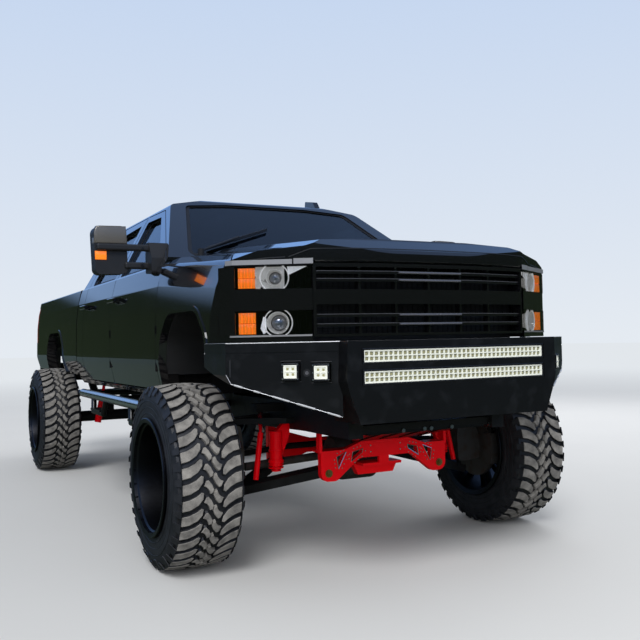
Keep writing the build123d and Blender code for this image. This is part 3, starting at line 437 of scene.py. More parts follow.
def edgesAt(verts):
    return list({edge for vert in verts for edge in vert.link_edges})


def bevelEdges(mesh, edges, width, steps=2):
    bmesh.ops.bevel(mesh, geom=edges, offset=width, offset_type="OFFSET", segments=steps, profile=0.5,
                    affect="EDGES", material=-1, clamp_overlap=True)


def addRod(mesh, start, end, radius, sides=20, endRadius=None):
    line = Vector(end) - Vector(start)
    turn = line.to_track_quat("Z", "Y").to_matrix().to_4x4()
    matrix = Matrix.Translation((Vector(start) + Vector(end)) / 2) @ turn
    bmesh.ops.create_cone(mesh, cap_ends=True, segments=sides, radius1=radius, depth=line.length,
                          radius2=radius if endRadius is None else endRadius, matrix=matrix)


def addPath(mesh, points, radius, sides=10, closed=False):
    count = len(points)
    for i in range(count if closed else count - 1):
        addRod(mesh, points[i], points[(i + 1) % count], radius, sides)
    for point in points:
        matrix = Matrix.Translation(point)
        bmesh.ops.create_icosphere(mesh, subdivisions=1, radius=radius * 1.02, matrix=matrix)


def addSpun(mesh, profile, centre, axis="X", steps=64):
    # profile rows are (offset along the axis, radius), closed into a ring
    verts = []
    for along, radius in profile:
        place = {"X": (along, 0, radius), "Z": (radius, 0, along)}[axis]
        verts.append(mesh.verts.new(Vector(centre) + Vector(place)))
    edges = [mesh.edges.new((verts[i], verts[(i + 1) % len(verts)])) for i in range(len(verts))]
    line = {"X": (1, 0, 0), "Z": (0, 0, 1)}[axis]
    bmesh.ops.spin(mesh, geom=verts + edges, cent=centre, axis=line, angle=2 * pi, steps=steps,
                   use_merge=True)


def addPlate(mesh, outline, thickness):
    # outline is a list of points in one plane, thickness a vector
    face = mesh.faces.new([mesh.verts.new(point) for point in outline])
    side = bmesh.ops.extrude_face_region(mesh, geom=[face])["geom"]
    verts = vertsIn(side)
    bmesh.ops.translate(mesh, vec=thickness, verts=verts)
    return list(face.verts) + verts


def finishPiece(mesh, name, finish, body="chassis", sharp=32, merge=mergeReach):
    # edges that turn by more than sharp degrees stay crisp
    if merge:
        bmesh.ops.remove_doubles(mesh, verts=mesh.verts, dist=merge)
    bmesh.ops.recalc_face_normals(mesh, faces=mesh.faces)
    for face in mesh.faces:
        face.smooth = True
    for edge in mesh.edges:
        edge.smooth = len(edge.link_faces) == 2 and edge.calc_face_angle(0) < radians(sharp)
    piece = newObject(name, meshData(mesh, name))
    for item in finish if isinstance(finish, list) else [finish]:
        piece.data.materials.append(finishes[item])
    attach(piece, body)
    return piece


def mirrored(*meshes):
    # copies everything across the truck's middle plane
    for mesh in meshes:
        bmesh.ops.mirror(mesh, geom=mesh.verts[:] + mesh.edges[:] + mesh.faces[:], axis="X", merge_dist=-1)


def copyInto(target, part, matrix):
    bmesh.ops.transform(part, matrix=matrix, verts=part.verts)
    data = meshData(part, "part")
    target.from_mesh(data)
    bpy.data.meshes.remove(data)


# Tyres: a smooth carcass, four rows of blocks and the biters on the sidewalls
tyreData = {"radius": 0.467, "treadHalf": 0.148, "half": 0.173, "lipRadius": 0.296, "blocks": 38,
            "blockHeight": 0.017, "crown": 0.013, "sink": 0.006, "draft": (0.07, 0.12), "chamfer": 0.0022,
            "ribs": (0.322, 0.352, 0.385), "ribHalf": 0.0015, "ribHeight": 0.0014, "steps": 96}
# block outlines: place across the tyre in metres, place round it in pitches
shoulderBlock = [(-0.150, -0.42), (-0.150, 0.29), (-0.118, 0.38), (-0.082, 0.60), (-0.056, 0.88),
                 (-0.044, 0.80), (-0.048, 0.40), (-0.072, -0.02), (-0.112, -0.33)]
centreBlock = [(-0.050, 0.22), (-0.038, 0.56), (-0.026, 0.60), (-0.010, 0.34), (0.002, -0.02),
               (-0.002, -0.26), (-0.016, -0.34), (-0.022, -0.10), (-0.034, 0.12)]


def tyreCarcass(mesh):
    half, lip = tyreData["half"], tyreData["lipRadius"]
    tread = tyreData["radius"] - tyreData["blockHeight"]
    rows = [
        (-half + 0.004, lip - 0.012), (-half + 0.002, lip), (-half - 0.0005, lip + 0.014),
        (-half + 0.002, 0.330), (-half, 0.362), (-half + 0.003, 0.400), (-half + 0.012, 0.430),
        (-half + 0.03, tread - 0.013), (-0.09, tread - 0.003), (0, tread), (0.09, tread - 0.003),
        (half - 0.03, tread - 0.013), (half - 0.012, 0.430), (half - 0.003, 0.400), (half, 0.362),
        (half - 0.002, 0.330), (half + 0.0005, lip + 0.014), (half - 0.002, lip),
        (half - 0.004, lip - 0.012), (0.12, lip - 0.013), (-0.12, lip - 0.013),
    ]
    addSpun(mesh, rows, (0, 0, 0), "X", tyreData["steps"])


def ringOfBlocks(mesh, outline, flip, shift):
    # one block lies flat above the axle, gets its crown and draft, and is copied round the tyre
    count, height, sink = (tyreData[key] for key in ("blocks", "blockHeight", "sink"))
    pitch = 2 * pi * tyreData["radius"] / count
    base = tyreData["radius"] - height - sink
    part = bmesh.new()
    points = [(x * flip, (shift - v * flip) * pitch, base) for x, v in reversed(outline)]
    verts = addPlate(part, points, (0, 0, height + sink))
    top = [vert for vert in verts if vert.co.z > base + 0.001]
    middle = sum((vert.co for vert in top), Vector()) / len(top)
    draftX, draftY = tyreData["draft"]
    for vert in top:
        vert.co.x += (middle.x - vert.co.x) * draftX
        vert.co.y += (middle.y - vert.co.y) * draftY
    rim = [edge for edge in part.edges if all(vert in top for vert in edge.verts)]
    bevelEdges(part, rim, tyreData["chamfer"], 1)
    for vert in part.verts:
        bend = vert.co.y ** 2 / (2 * vert.co.z)
        vert.co.z -= bend + tyreData["crown"] * (vert.co.x / tyreData["treadHalf"]) ** 2
    for face in part.faces:
        raised = face.calc_center_median().z > base + height * 0.45
        face.material_index = 1 if face.normal.z > 0.5 or raised else 0
    data = meshData(part, "block")
    for i in range(count):
        before = len(mesh.verts)
        mesh.from_mesh(data)
        turnSince(mesh, before, 2 * pi * i / count)
    bpy.data.meshes.remove(data)


# Biters by turns: radius of the low end, and width in pitches
biterData = {"kinds": [(0.402, 0.26), (0.418, 0.2)], "top": 0.4535, "outer": 0.985, "inner": 0.86,
             "shift": -0.05, "lift": (0.0035, 0.004)}


def sideBiters(mesh, side):
    # each shoulder block runs down over the edge as a wedge
    count = tyreData["blocks"]
    pitch = 2 * pi * tyreData["radius"] / count
    top, shift = biterData["top"], biterData["shift"] * pitch * side
    outer, inner = (tyreData["half"] * side * biterData[key] for key in ("outer", "inner"))
    out, up = biterData["lift"]
    for i in range(count):
        before = len(mesh.verts)
        low, share = biterData["kinds"][i % 2]
        width = pitch * share
        points = [(outer, shift - width, low), (outer, shift + width * 0.8, low),
                  (inner, shift + width * 1.2, top), (inner, shift - width * 1.3, top)]
        addPlate(mesh, points, (out * side, 0, up))
        turnSince(mesh, before, 2 * pi * i / count)


def tyreMesh():
    mesh = bmesh.new()
    tyreCarcass(mesh)
    ringOfBlocks(mesh, shoulderBlock, 1, 0.0)
    ringOfBlocks(mesh, shoulderBlock, -1, 0.45)
    ringOfBlocks(mesh, centreBlock, 1, 0.05)
    ringOfBlocks(mesh, centreBlock, -1, 0.42)
    sideBiters(mesh, 1)
    sideBiters(mesh, -1)
    half, height = tyreData["ribHalf"], tyreData["ribHeight"]
    for radius in tyreData["ribs"]:
        for side in (-1, 1):
            edge = (tyreData["half"] - 0.0006) * side
            addSpun(mesh, [(edge, radius - half), (edge + height * side, radius), (edge, radius + half)],
                    (0, 0, 0), "X", tyreData["steps"])
    return mesh


# Wheels: a deep barrel, a thick outer lip and eight spokes far inside
wheelData = {"half": 0.19, "lip": 0.2985, "barrel": 0.268, "face": -0.096, "spokes": 8, "nuts": 8,
             "nutCircle": 0.092, "bolts": 24, "boltCircle": 0.2745, "track": 1.01, "height": 0.467,
             "axles": {"front": -2.053, "rear": 1.851}}


def rodsRound(mesh, count, turn, circle, start, length, radius):
    # short six-sided rods along the axle, on a circle round it
    for i in range(count):
        angle = 2 * pi * (i + turn) / count
        spot = Vector((start, circle * sin(angle), circle * cos(angle)))
        addRod(mesh, spot, spot + Vector((length, 0, 0)), radius, 6)


def wheelMesh():
    half, lip, barrel, face = (wheelData[key] for key in ("half", "lip", "barrel", "face"))
    mesh = bmesh.new()
    addSpun(mesh, [
        (half, lip - 0.004), (half - 0.004, lip), (half - 0.012, lip - 0.001), (half - 0.018, 0.2785),
        (0.1, 0.274), (-0.1, 0.274), (-half + 0.018, 0.2785), (-half + 0.012, lip - 0.001),
        (-half + 0.004, lip), (-half, lip - 0.004), (-half + 0.006, barrel), (-0.1, barrel - 0.006),
        (0.1, barrel - 0.012), (half - 0.028, barrel - 0.004), (half - 0.02, barrel + 0.004),
        (half - 0.004, barrel + 0.006),
    ], (0, 0, 0), "X", 96)
    addSpun(mesh, [(face, 0.066), (face + 0.05, 0.066), (face + 0.056, 0.08), (face + 0.042, 0.118),
                   (face + 0.012, 0.124), (face, 0.12)], (0, 0, 0), "X", 64)
    step = 2 * pi / wheelData["spokes"]
    for i in range(wheelData["spokes"]):
        before = len(mesh.verts)
        for side in (-1, 1):
            outline = [(face + 0.004, side * 0.004, 0.105), (face + 0.004, side * 0.034, 0.105),
                       (face + 0.03, side * 0.05, 0.262), (face + 0.03, side * 0.012, 0.262)]
            verts = addPlate(mesh, outline, (0.026, 0, 0))
            bevelEdges(mesh, edgesAt(verts), 0.003)
        turnSince(mesh, before, step * i)
    rodsRound(mesh, wheelData["nuts"], 0.5, wheelData["nutCircle"], face + 0.03, 0.04, 0.011)
    rodsRound(mesh, wheelData["bolts"], 0, wheelData["boltCircle"], half - 0.022, 0.0195, 0.0042)
    addRod(mesh, (face + 0.03, 0, 0), (face + 0.085, 0, 0), 0.062, 40, 0.05)
    return mesh


def placeWheels():
    tyre, wheel = meshData(tyreMesh(), "tyrePattern"), meshData(wheelMesh(), "wheelPattern")
    for end, y in wheelData["axles"].items():
        for side, sign in sideSigns:
            body = f"wheel_{end}_{side}_body"
            place = Matrix.Translation((sign * wheelData["track"], y, wheelData["height"]))
            for source, name, node, finish in ((tyre, "treaded_tyre", "tyre", ["sidewall", "treadTop"]),
                                               (wheel, "deep_wheel", "rim", "wheelDark")):
                mesh = bmesh.new()
                mesh.from_mesh(source)
                bmesh.ops.transform(mesh, matrix=place @ Matrix.Diagonal((sign, 1, 1, 1)), verts=mesh.verts)
                piece = finishPiece(mesh, f"{name}_{end}_{side}", finish, body, 34, 0)
                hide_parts(f"{node}_{end}_{side}")
    bpy.data.meshes.remove(tyre)
    bpy.data.meshes.remove(wheel)


placeWheels()
print("wheels and tyres made")


# Laying trim on the painted skin: a flat grid is pushed on to a node by rays
def skinOf(name):
    data = nodes[name].data
    verts = [vert.co.copy() for vert in data.vertices]
    return BVHTree.FromPolygons(verts, [list(face.vertices) for face in data.polygons])


def layOn(verts, skin, heading, lift):
    # moves each vertex along the heading on to the skin, and back out by lift
    heading = Vector(heading).normalized()
    for vert in verts:
        spot = skin.ray_cast(vert.co - heading * 1.5, heading)[0]
        if spot:
            vert.co = spot - heading * lift


def addStrip(mesh, skin, heading, rows, width, lift, thick, steps=8):
    # rows are the points of a line; the strip is as wide as width, upright
    points = []
    for first, second in zip(rows, rows[1:]):
        points += [Vector(first).lerp(Vector(second), i / steps) for i in range(steps)]
    points.append(Vector(rows[-1]))
    heading = Vector(heading).normalized()
    lowLine, edges = addLine(mesh, [point - Vector((0, 0, width / 2)) for point in points])
    made = bmesh.ops.extrude_edge_only(mesh, edges=edges)["geom"]
    highLine = vertsIn(made)
    bmesh.ops.translate(mesh, vec=(0, 0, width), verts=highLine)
    layOn(lowLine + highLine, skin, heading, lift)
    outer = bmesh.ops.extrude_face_region(mesh, geom=facesIn(made))["geom"]
    bmesh.ops.translate(mesh, vec=-heading * thick, verts=vertsIn(outer))


# Headlamps: clear lens, dark housing, round bowl whose glow paints its reflections, projector eye, amber
# lens and bright rings
lampData = {"inner": (0.625, -2.7973), "along": (0.857, 0.5145), "depth": 0.075, "lensThick": 0.0025,
            "upper": {"low": 1.3795, "high": 1.4825, "eyePlace": 0.172, "ring": 0.036, "eye": 0.028,
                      "outerRing": 0.066},
            "lower": {"low": 1.1675, "high": 1.2765, "eyePlace": 0.158, "ring": 0.047, "eye": 0.037,
                      "outerRing": 0.0655},
            "beside": [(0.6225, -2.8022), (0.703, -2.7539)],
            "besideHeights": [(1.2785, 1.3775), (1.134, 1.1655), (1.4845, 1.4945)],
            "ribs": 7, "ribStart": 0.014, "ribPitch": 0.0135, "ribThick": 0.005,
            "cellRows": 2, "cellColumns": 5, "cellStart": 0.262, "cellPitch": 0.0158, "cellWidth": 0.0154}
# plan corners of the lens, and the ways into the lamp there
lampPlan = [(0.625, -2.7973), (0.9164, -2.6225), (0.9265, -2.6155), (0.9345, -2.6065), (0.9422, -2.5905),
            (0.9675, -2.518)]
lampInward = [(-0.5145, 0.857), (-0.5145, 0.857), (-0.62, 0.785), (-0.78, 0.626), (-0.92, 0.39),
              (-0.944, 0.33)]


def lampLine(depth):
    return [(x + nx * depth, y + ny * depth) for (x, y), (nx, ny) in zip(lampPlan, lampInward)]


def lampWall(mesh, line, low, high):
    # an upright wall over a plan line
    edges = addLine(mesh, [(x, y, low) for x, y in line])[1]
    made = bmesh.ops.extrude_edge_only(mesh, edges=edges)["geom"]
    bmesh.ops.translate(mesh, vec=(0, 0, high - low), verts=vertsIn(made))


def lampFrame(low):
    # local x is up, y runs outwards along the lamp and z goes into it
    (x, y), (ax, ay) = lampData["inner"], lampData["along"]
    return Matrix(((0, ax, -ay, x), (0, ay, ax, y), (1, 0, 0, low), (0, 0, 0, 1)))


def lampHousing(mesh, row):
    # a line is swept round bottom, back and top, its corners matched each time from the inner end out
    front, back = lampLine(0.001), lampLine(lampData["depth"])
    low, high = row["low"], row["high"]
    edges = addLine(mesh, [(x, y, low) for x, y in front])[1]
    for line, z in ((back, low), (back, high), (front, high)):
        made = bmesh.ops.extrude_edge_only(mesh, edges=edges)["geom"]
        order = sorted(vertsIn(made), key=lambda vert: vert.co.x * 0.3 + vert.co.y)
        for vert, (x, y) in zip(order, sorted(line, key=lambda spot: spot[0] * 0.3 + spot[1])):
            vert.co = Vector((x, y, z))
        edges = [item for item in made if isinstance(item, bmesh.types.BMEdge)]
    bmesh.ops.holes_fill(mesh, edges=[edge for edge in mesh.edges if edge.is_boundary], sides=4)


def ringedHole(mesh, low, high, middle, radius, depth, steps=48):
    # a flat plate (x up, y along) between two corners with a round hole in it
    inner = bmesh.ops.create_circle(mesh, segments=steps, radius=radius,
                                    matrix=Matrix.Translation((*middle, depth)))["verts"]
    outer = []
    for vert in inner:
        way = Vector((vert.co.x - middle[0], vert.co.y - middle[1]))
        reach = min((high[i] - middle[i] if way[i] > 0 else low[i] - middle[i]) / way[i]
                    for i in (0, 1) if abs(way[i]) > 1e-6)
        outer.append(mesh.verts.new((middle[0] + way.x * reach, middle[1] + way.y * reach, depth)))
    ringEdges = [mesh.edges.new((outer[i], outer[(i + 1) % steps])) for i in range(steps)]
    bmesh.ops.bridge_loops(mesh, edges=ringEdges + edgesAt(inner))


def lampInside(row, upper):
    height = row["high"] - row["low"]
    middle = (height / 2, row["eyePlace"])
    bright, eye, dark, amber, rings = newMeshes(5)
    ring, eyeRadius, outer = row["ring"], row["eye"], row["outerRing"]
    spot = (*middle, 0)
    addSpun(bright, [(0.010, ring + 0.005), (0.007, ring + 0.0025), (0.010, ring), (0.048, eyeRadius),
                     (0.052, eyeRadius), (0.016, ring + 0.005)], spot, "Z", 24)
    addSpun(rings, [(0.014, ring + 0.004), (0.008, ring + 0.0015), (0.014, ring - 0.001),
                    (0.018, ring + 0.0015)], spot, "Z", 40)
    matrix = Matrix.Translation((*middle, 0.058)) @ Matrix.Diagonal((1, 1, 0.75, 1))
    bmesh.ops.create_uvsphere(eye, u_segments=32, v_segments=16, radius=eyeRadius * 0.97, matrix=matrix)
    if upper:
        ringedHole(bright, (0.001, 0.126), (height - 0.001, 0.262), middle, ring + 0.004, 0.020)
        accent = [(height - 0.002, 0.020, 0.014), (height - 0.002, 0.112, 0.014),
                  (height * 0.60, 0.106, 0.014)]
    else:
        accent = [(0.012, 0.212, 0.016), (height - 0.034, 0.212, 0.016), (height - 0.024, 0.226, 0.016),
                  (0.030, 0.240, 0.016), (0.004, 0.226, 0.016)]
    addPlate(rings, accent, (0, 0, 0.006))
    addSpun(rings, [(0.018, outer - 0.003), (0.008, outer), (0.018, outer + 0.003), (0.022, outer)],
            spot, "Z", 56)
    for i in range(lampData["ribs"]):
        along = lampData["ribStart"] + i * lampData["ribPitch"]
        top = height * 0.60 if upper else height * 0.95 - i * 0.002
        addBlock(dark, (0.004, along, 0.05), (top, along + lampData["ribThick"], 0.07), 0.001, 1)
    cellHeight = (height - 0.008) / lampData["cellRows"]
    for i in range(lampData["cellRows"]):
        low, high = 0.004 + i * cellHeight, 0.002 + (i + 1) * cellHeight
        for j in range(lampData["cellColumns"]):
            start = lampData["cellStart"] + j * lampData["cellPitch"]
            end = start + lampData["cellWidth"]
            cell = addPlate(amber, [(low, start, 0.012), (high, start, 0.012), (high, end, 0.012),
                                    (low, end, 0.012)], (0, 0, 0.014))
            face = [edge for edge in amber.edges
                    if all(vert in cell and vert.co.z < 0.013 for vert in edge.verts)]
            bevelEdges(amber, face, 0.003)
    return bright, eye, dark, amber, rings


def makeHeadlamps():
    meshes = newMeshes(9)
    lens, housing, bright, eyes, dark, amber, rings, chrome, panels = meshes
    for low, high in lampData["besideHeights"]:
        lampWall(panels, lampData["beside"], low, high)
    for key in ("upper", "lower"):
        row = lampData[key]
        lampWall(lens, lampLine(0)[:3], row["low"], row["high"])
        lampHousing(housing, row)
        for target, part in zip((bright, eyes, dark, amber, rings), lampInside(row, key == "upper")):
            copyInto(target, part, lampFrame(row["low"]))
        lampWall(panels, lampLine(-0.003)[2:], row["low"] - 0.002, row["high"] + 0.002)
    lampWall(chrome, lampLine(-0.0035)[:5], 1.1585, 1.1665)
    for mesh, thick in ((chrome, 0.003), (lens, lampData["lensThick"]), (panels, lampData["lensThick"])):
        bmesh.ops.solidify(mesh, geom=mesh.faces[:], thickness=thick)
    mirrored(*meshes)
    finishPiece(panels, "lamp_end_panels", "bodyPaint")
    piece = finishPiece(lens, "headlamp_lens", "lampClear", "chassis", 30)
    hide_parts("headlamps")
    finishPiece(housing, "headlamp_housing", "lampDark")
    finishPiece(rings, "headlamp_rings", "lampRing", "chassis", 24)
    # the bowl's glow is painted reflection
    finishPiece(bright, "headlamp_bowls", "lampBowl", "chassis", 24)
    finishPiece(amber, "turn_signal_lenses", "lampAmber")
    finishPiece(eyes, "headlamp_projectors", "projectorEye")
    finishPiece(dark, "headlamp_ribs", "lampDark")
    finishPiece(chrome, "headlamp_base_strips", "satinTrim")


makeHeadlamps()
print("headlamps made")


# Nose trim: satin strips over the lamps, a thin dark strip above them that paints the shade of the hood's
# shut line, and light lines along the grille that paint the slats' highlights
# the first row gives the points of a thin dark strip that paints the shade of the hood's shut line
noseData = {"shutLineShade": [(0.944, -2.7, 1.5055), (0.9332, -2.7, 1.5075), (0.8071, -2.7, 1.5206),
                       (0.715, -2.7, 1.5235), (0.6272, -2.8, 1.5588), (0.3, -2.8, 1.566),
                       (0.0, -2.8, 1.5685)],
            "brow": [(0.958, -2.5720), (0.9405, -2.6155), (0.7020, -2.7580)],
            "browInner": [(0.6965, -2.7612), (0.6195, -2.8076)], "browLow": 1.4905, "browMiddle": 1.5035,
            "slats": [1.208, 1.252, 1.417, 1.453], "grilleHalf": 0.6, "lineHalf": 0.596,
            "uprights": 41, "uprightPitch": 0.03, "levels": 12, "levelPitch": 0.028, "wire": 0.0015}


def makeNoseTrim():
    hoodSkin = skinOf("hood")
    shutLineShade, brow = newMeshes(2)
    slant, ahead = (-0.3, 0.95, 0), (0, 1, 0)
    # a thin dark strip laid on the hood skin paints the shade of the hood's shut line
    addStrip(shutLineShade, hoodSkin, slant, noseData["shutLineShade"][:4], 0.0045, 0.0006, 0.0012)
    addStrip(shutLineShade, hoodSkin, ahead, noseData["shutLineShade"][3:], 0.0045, 0.0006, 0.0012, 12)
    low, middle = noseData["browLow"], noseData["browMiddle"]
    lampWall(brow, noseData["brow"], low, 1.5125)
    lampWall(brow, noseData["browInner"], low, 1.5155)
    bmesh.ops.solidify(brow, geom=brow.faces[:], thickness=0.0022)
    line = [(x, -2.8, middle) for x in (0.605, 0.3, 0.0)]
    addStrip(brow, hoodSkin, ahead, line, 0.0035, 0.0008, 0.0022, 12)
    mirrored(shutLineShade, brow)
    finishPiece(shutLineShade, "hood_shut_line_shade", "sealRubber", "hood_body")
    finishPiece(brow, "brow_strips", "satinTrim", "hood_body")
    lines, bars, rods = newMeshes(3)
    grilleSkin = skinOf("grille")
    reach = noseData["lineHalf"]
    # thin dark-chrome strips along the slats' upper edges paint their highlights
    for z in noseData["slats"]:
        line = [(x, -2.8, z + 0.0055) for x in (-reach, 0, reach)]
        addStrip(lines, grilleSkin, ahead, line, 0.0022, 0.0006, 0.001, 14)
        addBlock(bars, (-0.182, -2.8535, z - 0.0045), (0.182, -2.842, z + 0.0045), 0.002, 2)
    finishPiece(lines, "grille_painted_highlight_lines", "darkChrome")
    finishPiece(bars, "grille_middle_bars", "darkChrome")
    half, wire = noseData["grilleHalf"], noseData["wire"]
    for i in range(noseData["uprights"]):
        x = -half + i * noseData["uprightPitch"]
        addBlock(rods, (x - wire, -2.735, 1.158), (x + wire, -2.732, 1.492))
    for i in range(noseData["levels"]):
        z = 1.165 + i * noseData["levelPitch"]
        addBlock(rods, (-half, -2.736, z - wire), (half, -2.731, z + wire))
    finishPiece(rods, "grille_mesh", "grilleShade")


makeNoseTrim()
print("nose trim made")


# Light bars and cube lamps
barData = {"half": 0.515, "front": -3.057, "rows": [(1.029, 1.099), (0.936, 1.006)], "columns": 40,
           "edge": 0.0085, "rim": 0.0045, "screws": 16, "screwInset": 0.02, "screwRadius": 0.0028}
cubeData = {"size": 0.076, "turn": 36.6, "places": [(0.762, -2.853, 1.002), (0.652, -2.933, 0.997)],
            "frame": 0.0085, "board": 0.048, "cup": 0.003, "fins": 5, "finPitch": 0.014,
            "screwRadius": 0.0032}


def ledBoard(mesh, columns, rows, width, height, matrix, floor=2, chip=3, cup=0.008):
    # a white board of square cups, each with a dark chip at the bottom
    grid = bmesh.ops.create_grid(mesh, x_segments=columns, y_segments=rows, size=0.5,
                                 matrix=matrix @ Matrix.Diagonal((width, height, 1, 1)))
    faces = list({face for vert in grid["verts"] for face in vert.link_faces})
    pitch = min(width / columns, height / rows)
    bmesh.ops.inset_individual(mesh, faces=faces, thickness=pitch * 0.1, depth=0)
    walls = bmesh.ops.inset_individual(mesh, faces=faces, thickness=pitch * 0.16, depth=-cup)["faces"]
    floors = bmesh.ops.inset_individual(mesh, faces=faces, thickness=pitch * 0.12, depth=0)["faces"]
    for members, index in ((walls, 1), (floors, floor), (faces, chip)):
        for face in members:
            face.material_index = index


def lampFrameBars(mesh, low, high, front, back, edge):
    # four bars round an opening in the front plane
    (x0, z0), (x1, z1) = low, high
    addBlock(mesh, (x0, front, z0), (x1, back, z0 + edge), 0.0015)
    addBlock(mesh, (x0, front, z1 - edge), (x1, back, z1), 0.0015)
    addBlock(mesh, (x0, front, z0 + edge), (x0 + edge, back, z1 - edge), 0.0)
    addBlock(mesh, (x1 - edge, front, z0 + edge), (x1, back, z1 - edge), 0.0)


def makeLightBars():
    housing, boards, screws, white = newMeshes(4)
    half, front, edge, rim = (barData[key] for key in ("half", "front", "edge", "rim"))
    upright = Matrix.Rotation(pi / 2, 4, "X")
    for low, high in barData["rows"]:
        addBlock(housing, (-half, front + 0.012, low), (half, front + 0.07, high), 0.003)
        lampFrameBars(housing, (-half, low), (half, high), front, front + 0.013, edge)
        lampFrameBars(white, (-half + edge, low + edge), (half - edge, high - edge), front + 0.002,
                      front + 0.013, 0.0048)
        width, height = 2 * (half - edge - rim), high - low - 2 * (edge + rim)
        matrix = Matrix.Translation((0, front + 0.0035, (low + high) / 2)) @ upright
        ledBoard(boards, barData["columns"], 2, width, height, matrix)
        start = half - barData["screwInset"]
        for i in range(barData["screws"]):
            x = -start + i * 2 * start / (barData["screws"] - 1)
            for z in (low + 0.0042, high - 0.0042):
                addRod(screws, (x, front, z), (x, front + 0.004, z), barData["screwRadius"], 8)
    size, frame = cubeData["size"] / 2, cubeData["frame"]
    inside = size - frame
    for x, y, z in cubeData["places"]:
        for side in (-1, 1):
            turn = Matrix.Rotation(radians(cubeData["turn"]) * side, 4, "Z")
            matrix = Matrix.Translation((x * side, y, z)) @ turn
            case, glow, board, pins = newMeshes(4)
            addBlock(case, (-size, -0.024, -size), (size, 0.03, size), 0.005)
            for i in range(cubeData["fins"]):
                fin = -size + 0.008 + i * cubeData["finPitch"]
                addBlock(case, (-size + 0.004, 0.03, fin), (size - 0.004, 0.041, fin + 0.004))
            lampFrameBars(case, (-size, -size), (size, size), -0.03, -0.022, frame)
            lampFrameBars(glow, (-inside, -inside), (inside, inside), -0.0295, -0.022, 0.006)
            ledBoard(board, 2, 2, cubeData["board"], cubeData["board"],
                     Matrix.Translation((0, -0.0285, 0)) @ upright, 0, 3, cubeData["cup"])
            for pinX in (-size + 0.004, size - 0.004):
                for pinZ in (-0.031, 0.0, 0.031):
                    addRod(pins, (pinX, -0.0312, pinZ), (pinX, -0.026, pinZ), cubeData["screwRadius"], 8)
            for target, part in ((housing, case), (white, glow), (boards, board), (screws, pins)):
                copyInto(target, part, matrix)
    piece = finishPiece(housing, "light_housings", "satinBlack")
    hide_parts("light_bars")
    finishPiece(white, "light_frames", "ledWhite")
    finishPiece(boards, "led_boards", ["ledWhite", "ledWhite", "ledCup", "ledChip"], "chassis", 20)
    finishPiece(screws, "light_screws", "polished")


makeLightBars()
print("lights made")


# Bumper trim: bright rods that paint highlights along the edges, brighter dashes that paint glints on the
# lower edge, slot, round sensor, bolts and the rods beside the cube lamps' pockets
bumperData = {"edge": 0.0019, "top": 1.131, "slot": (0.9945, -2.6862, 0.980, 1.058),
              "sensor": (0.7054, -2.8949, 0.9949), "wingStart": (0.582, -2.987), "way": (0.8104, 0.5859, 0),
              "outward": (0.5859, -0.8104, 0), "pocketHalf": 0.046,
              # spans along the lower edge where the brighter rods paint glints
              "paintedGlints": [(0.02, 0.13), (0.24, 0.40), (0.47, 0.62), (0.74, 0.79), (0.9, 0.97)],
              "hornBolts": [(x, z) for x in (0.36, 0.46) for z in (0.795, 0.832)],
              "skidBolts": [(0.38, 0.692), (0.144, 0.694), (0.02, 0.695)], "skidFront": -2.7935}


def makeBumperTrim():
    edges, paintedGlints, details, pockets, bolts = newMeshes(5)
    top, thick = bumperData["top"], bumperData["edge"]
    upper = [(0.586, -2.987, top), (1.002, -2.6795, top), (1.002, -2.397, top)]
    lower = [(0.583, -2.987, 0.8), (0.985, -2.6925, 0.9495), (1.002, -2.6795, 0.990),
             (1.002, -2.397, 1.0215)]
    # rods along the wing's top, lower and outer edges and the front top edge: painted highlights
    for line, radius in ((upper, thick), (lower, thick * 0.8), ([upper[-1], lower[-1]], thick),
                         ([(0.588, -3.0555, top), (0.0, -3.0555, top)], 0.0012)):
        addPath(edges, line, radius, 8)
    start, end = Vector(lower[0]), Vector(lower[1])
    # thicker rods in dashes on the lower edge: painted glints
    for low, high in bumperData["paintedGlints"]:
        addRod(paintedGlints, start.lerp(end, low), start.lerp(end, high), 0.0042, 10)
    mirrored(edges, paintedGlints)
    finishPiece(edges, "bumper_painted_highlight_lines", "edgeLine")
    finishPiece(paintedGlints, "bumper_painted_glints", "edgeLine")
    way, outward = Vector(bumperData["way"]), Vector(bumperData["outward"])
    x, y, low, high = bumperData["slot"]
    corner, rise = Vector((x, y, low)) - way * 0.012, Vector((0, 0, high - low))
    other = corner + way * 0.007
    addPlate(details, [corner, other, other + rise, corner + rise], outward * 0.0012)
    spot = Vector(bumperData["sensor"])
    addRod(details, spot - outward * 0.004, spot + outward * 0.003, 0.0165, 28)
    addRod(pockets, spot - outward * 0.004, spot + outward * 0.0045, 0.0115, 24, 0.008)
    reach = way * bumperData["pocketHalf"]
    for place in cubeData["places"]:
        corner = Vector((*bumperData["wingStart"], place[2]))
        face = corner + way * (Vector(place) - corner).dot(way) + outward * 0.001
        for sign in (-1, 1):
            edge = face + Vector((0, 0, sign * bumperData["pocketHalf"]))
            addRod(details, edge - reach, edge + reach, 0.0022, 8)
    for x, z in bumperData["hornBolts"]:
        addRod(bolts, (x, -3.0568, z), (x, -3.045, z), 0.009, 6)
    y = bumperData["skidFront"]
    for x, z in bumperData["skidBolts"]:
        addRod(bolts, (x, y - 0.006, z), (x, y + 0.004, z), 0.011, 6)
    mirrored(details, pockets, bolts)
    finishPiece(details, "bumper_slots", "sealRubber")
    finishPiece(pockets, "bumper_sensors", "darkChrome")
    finishPiece(bolts, "bumper_bolts", "steelPlain")


makeBumperTrim()
print("bumper trim made")


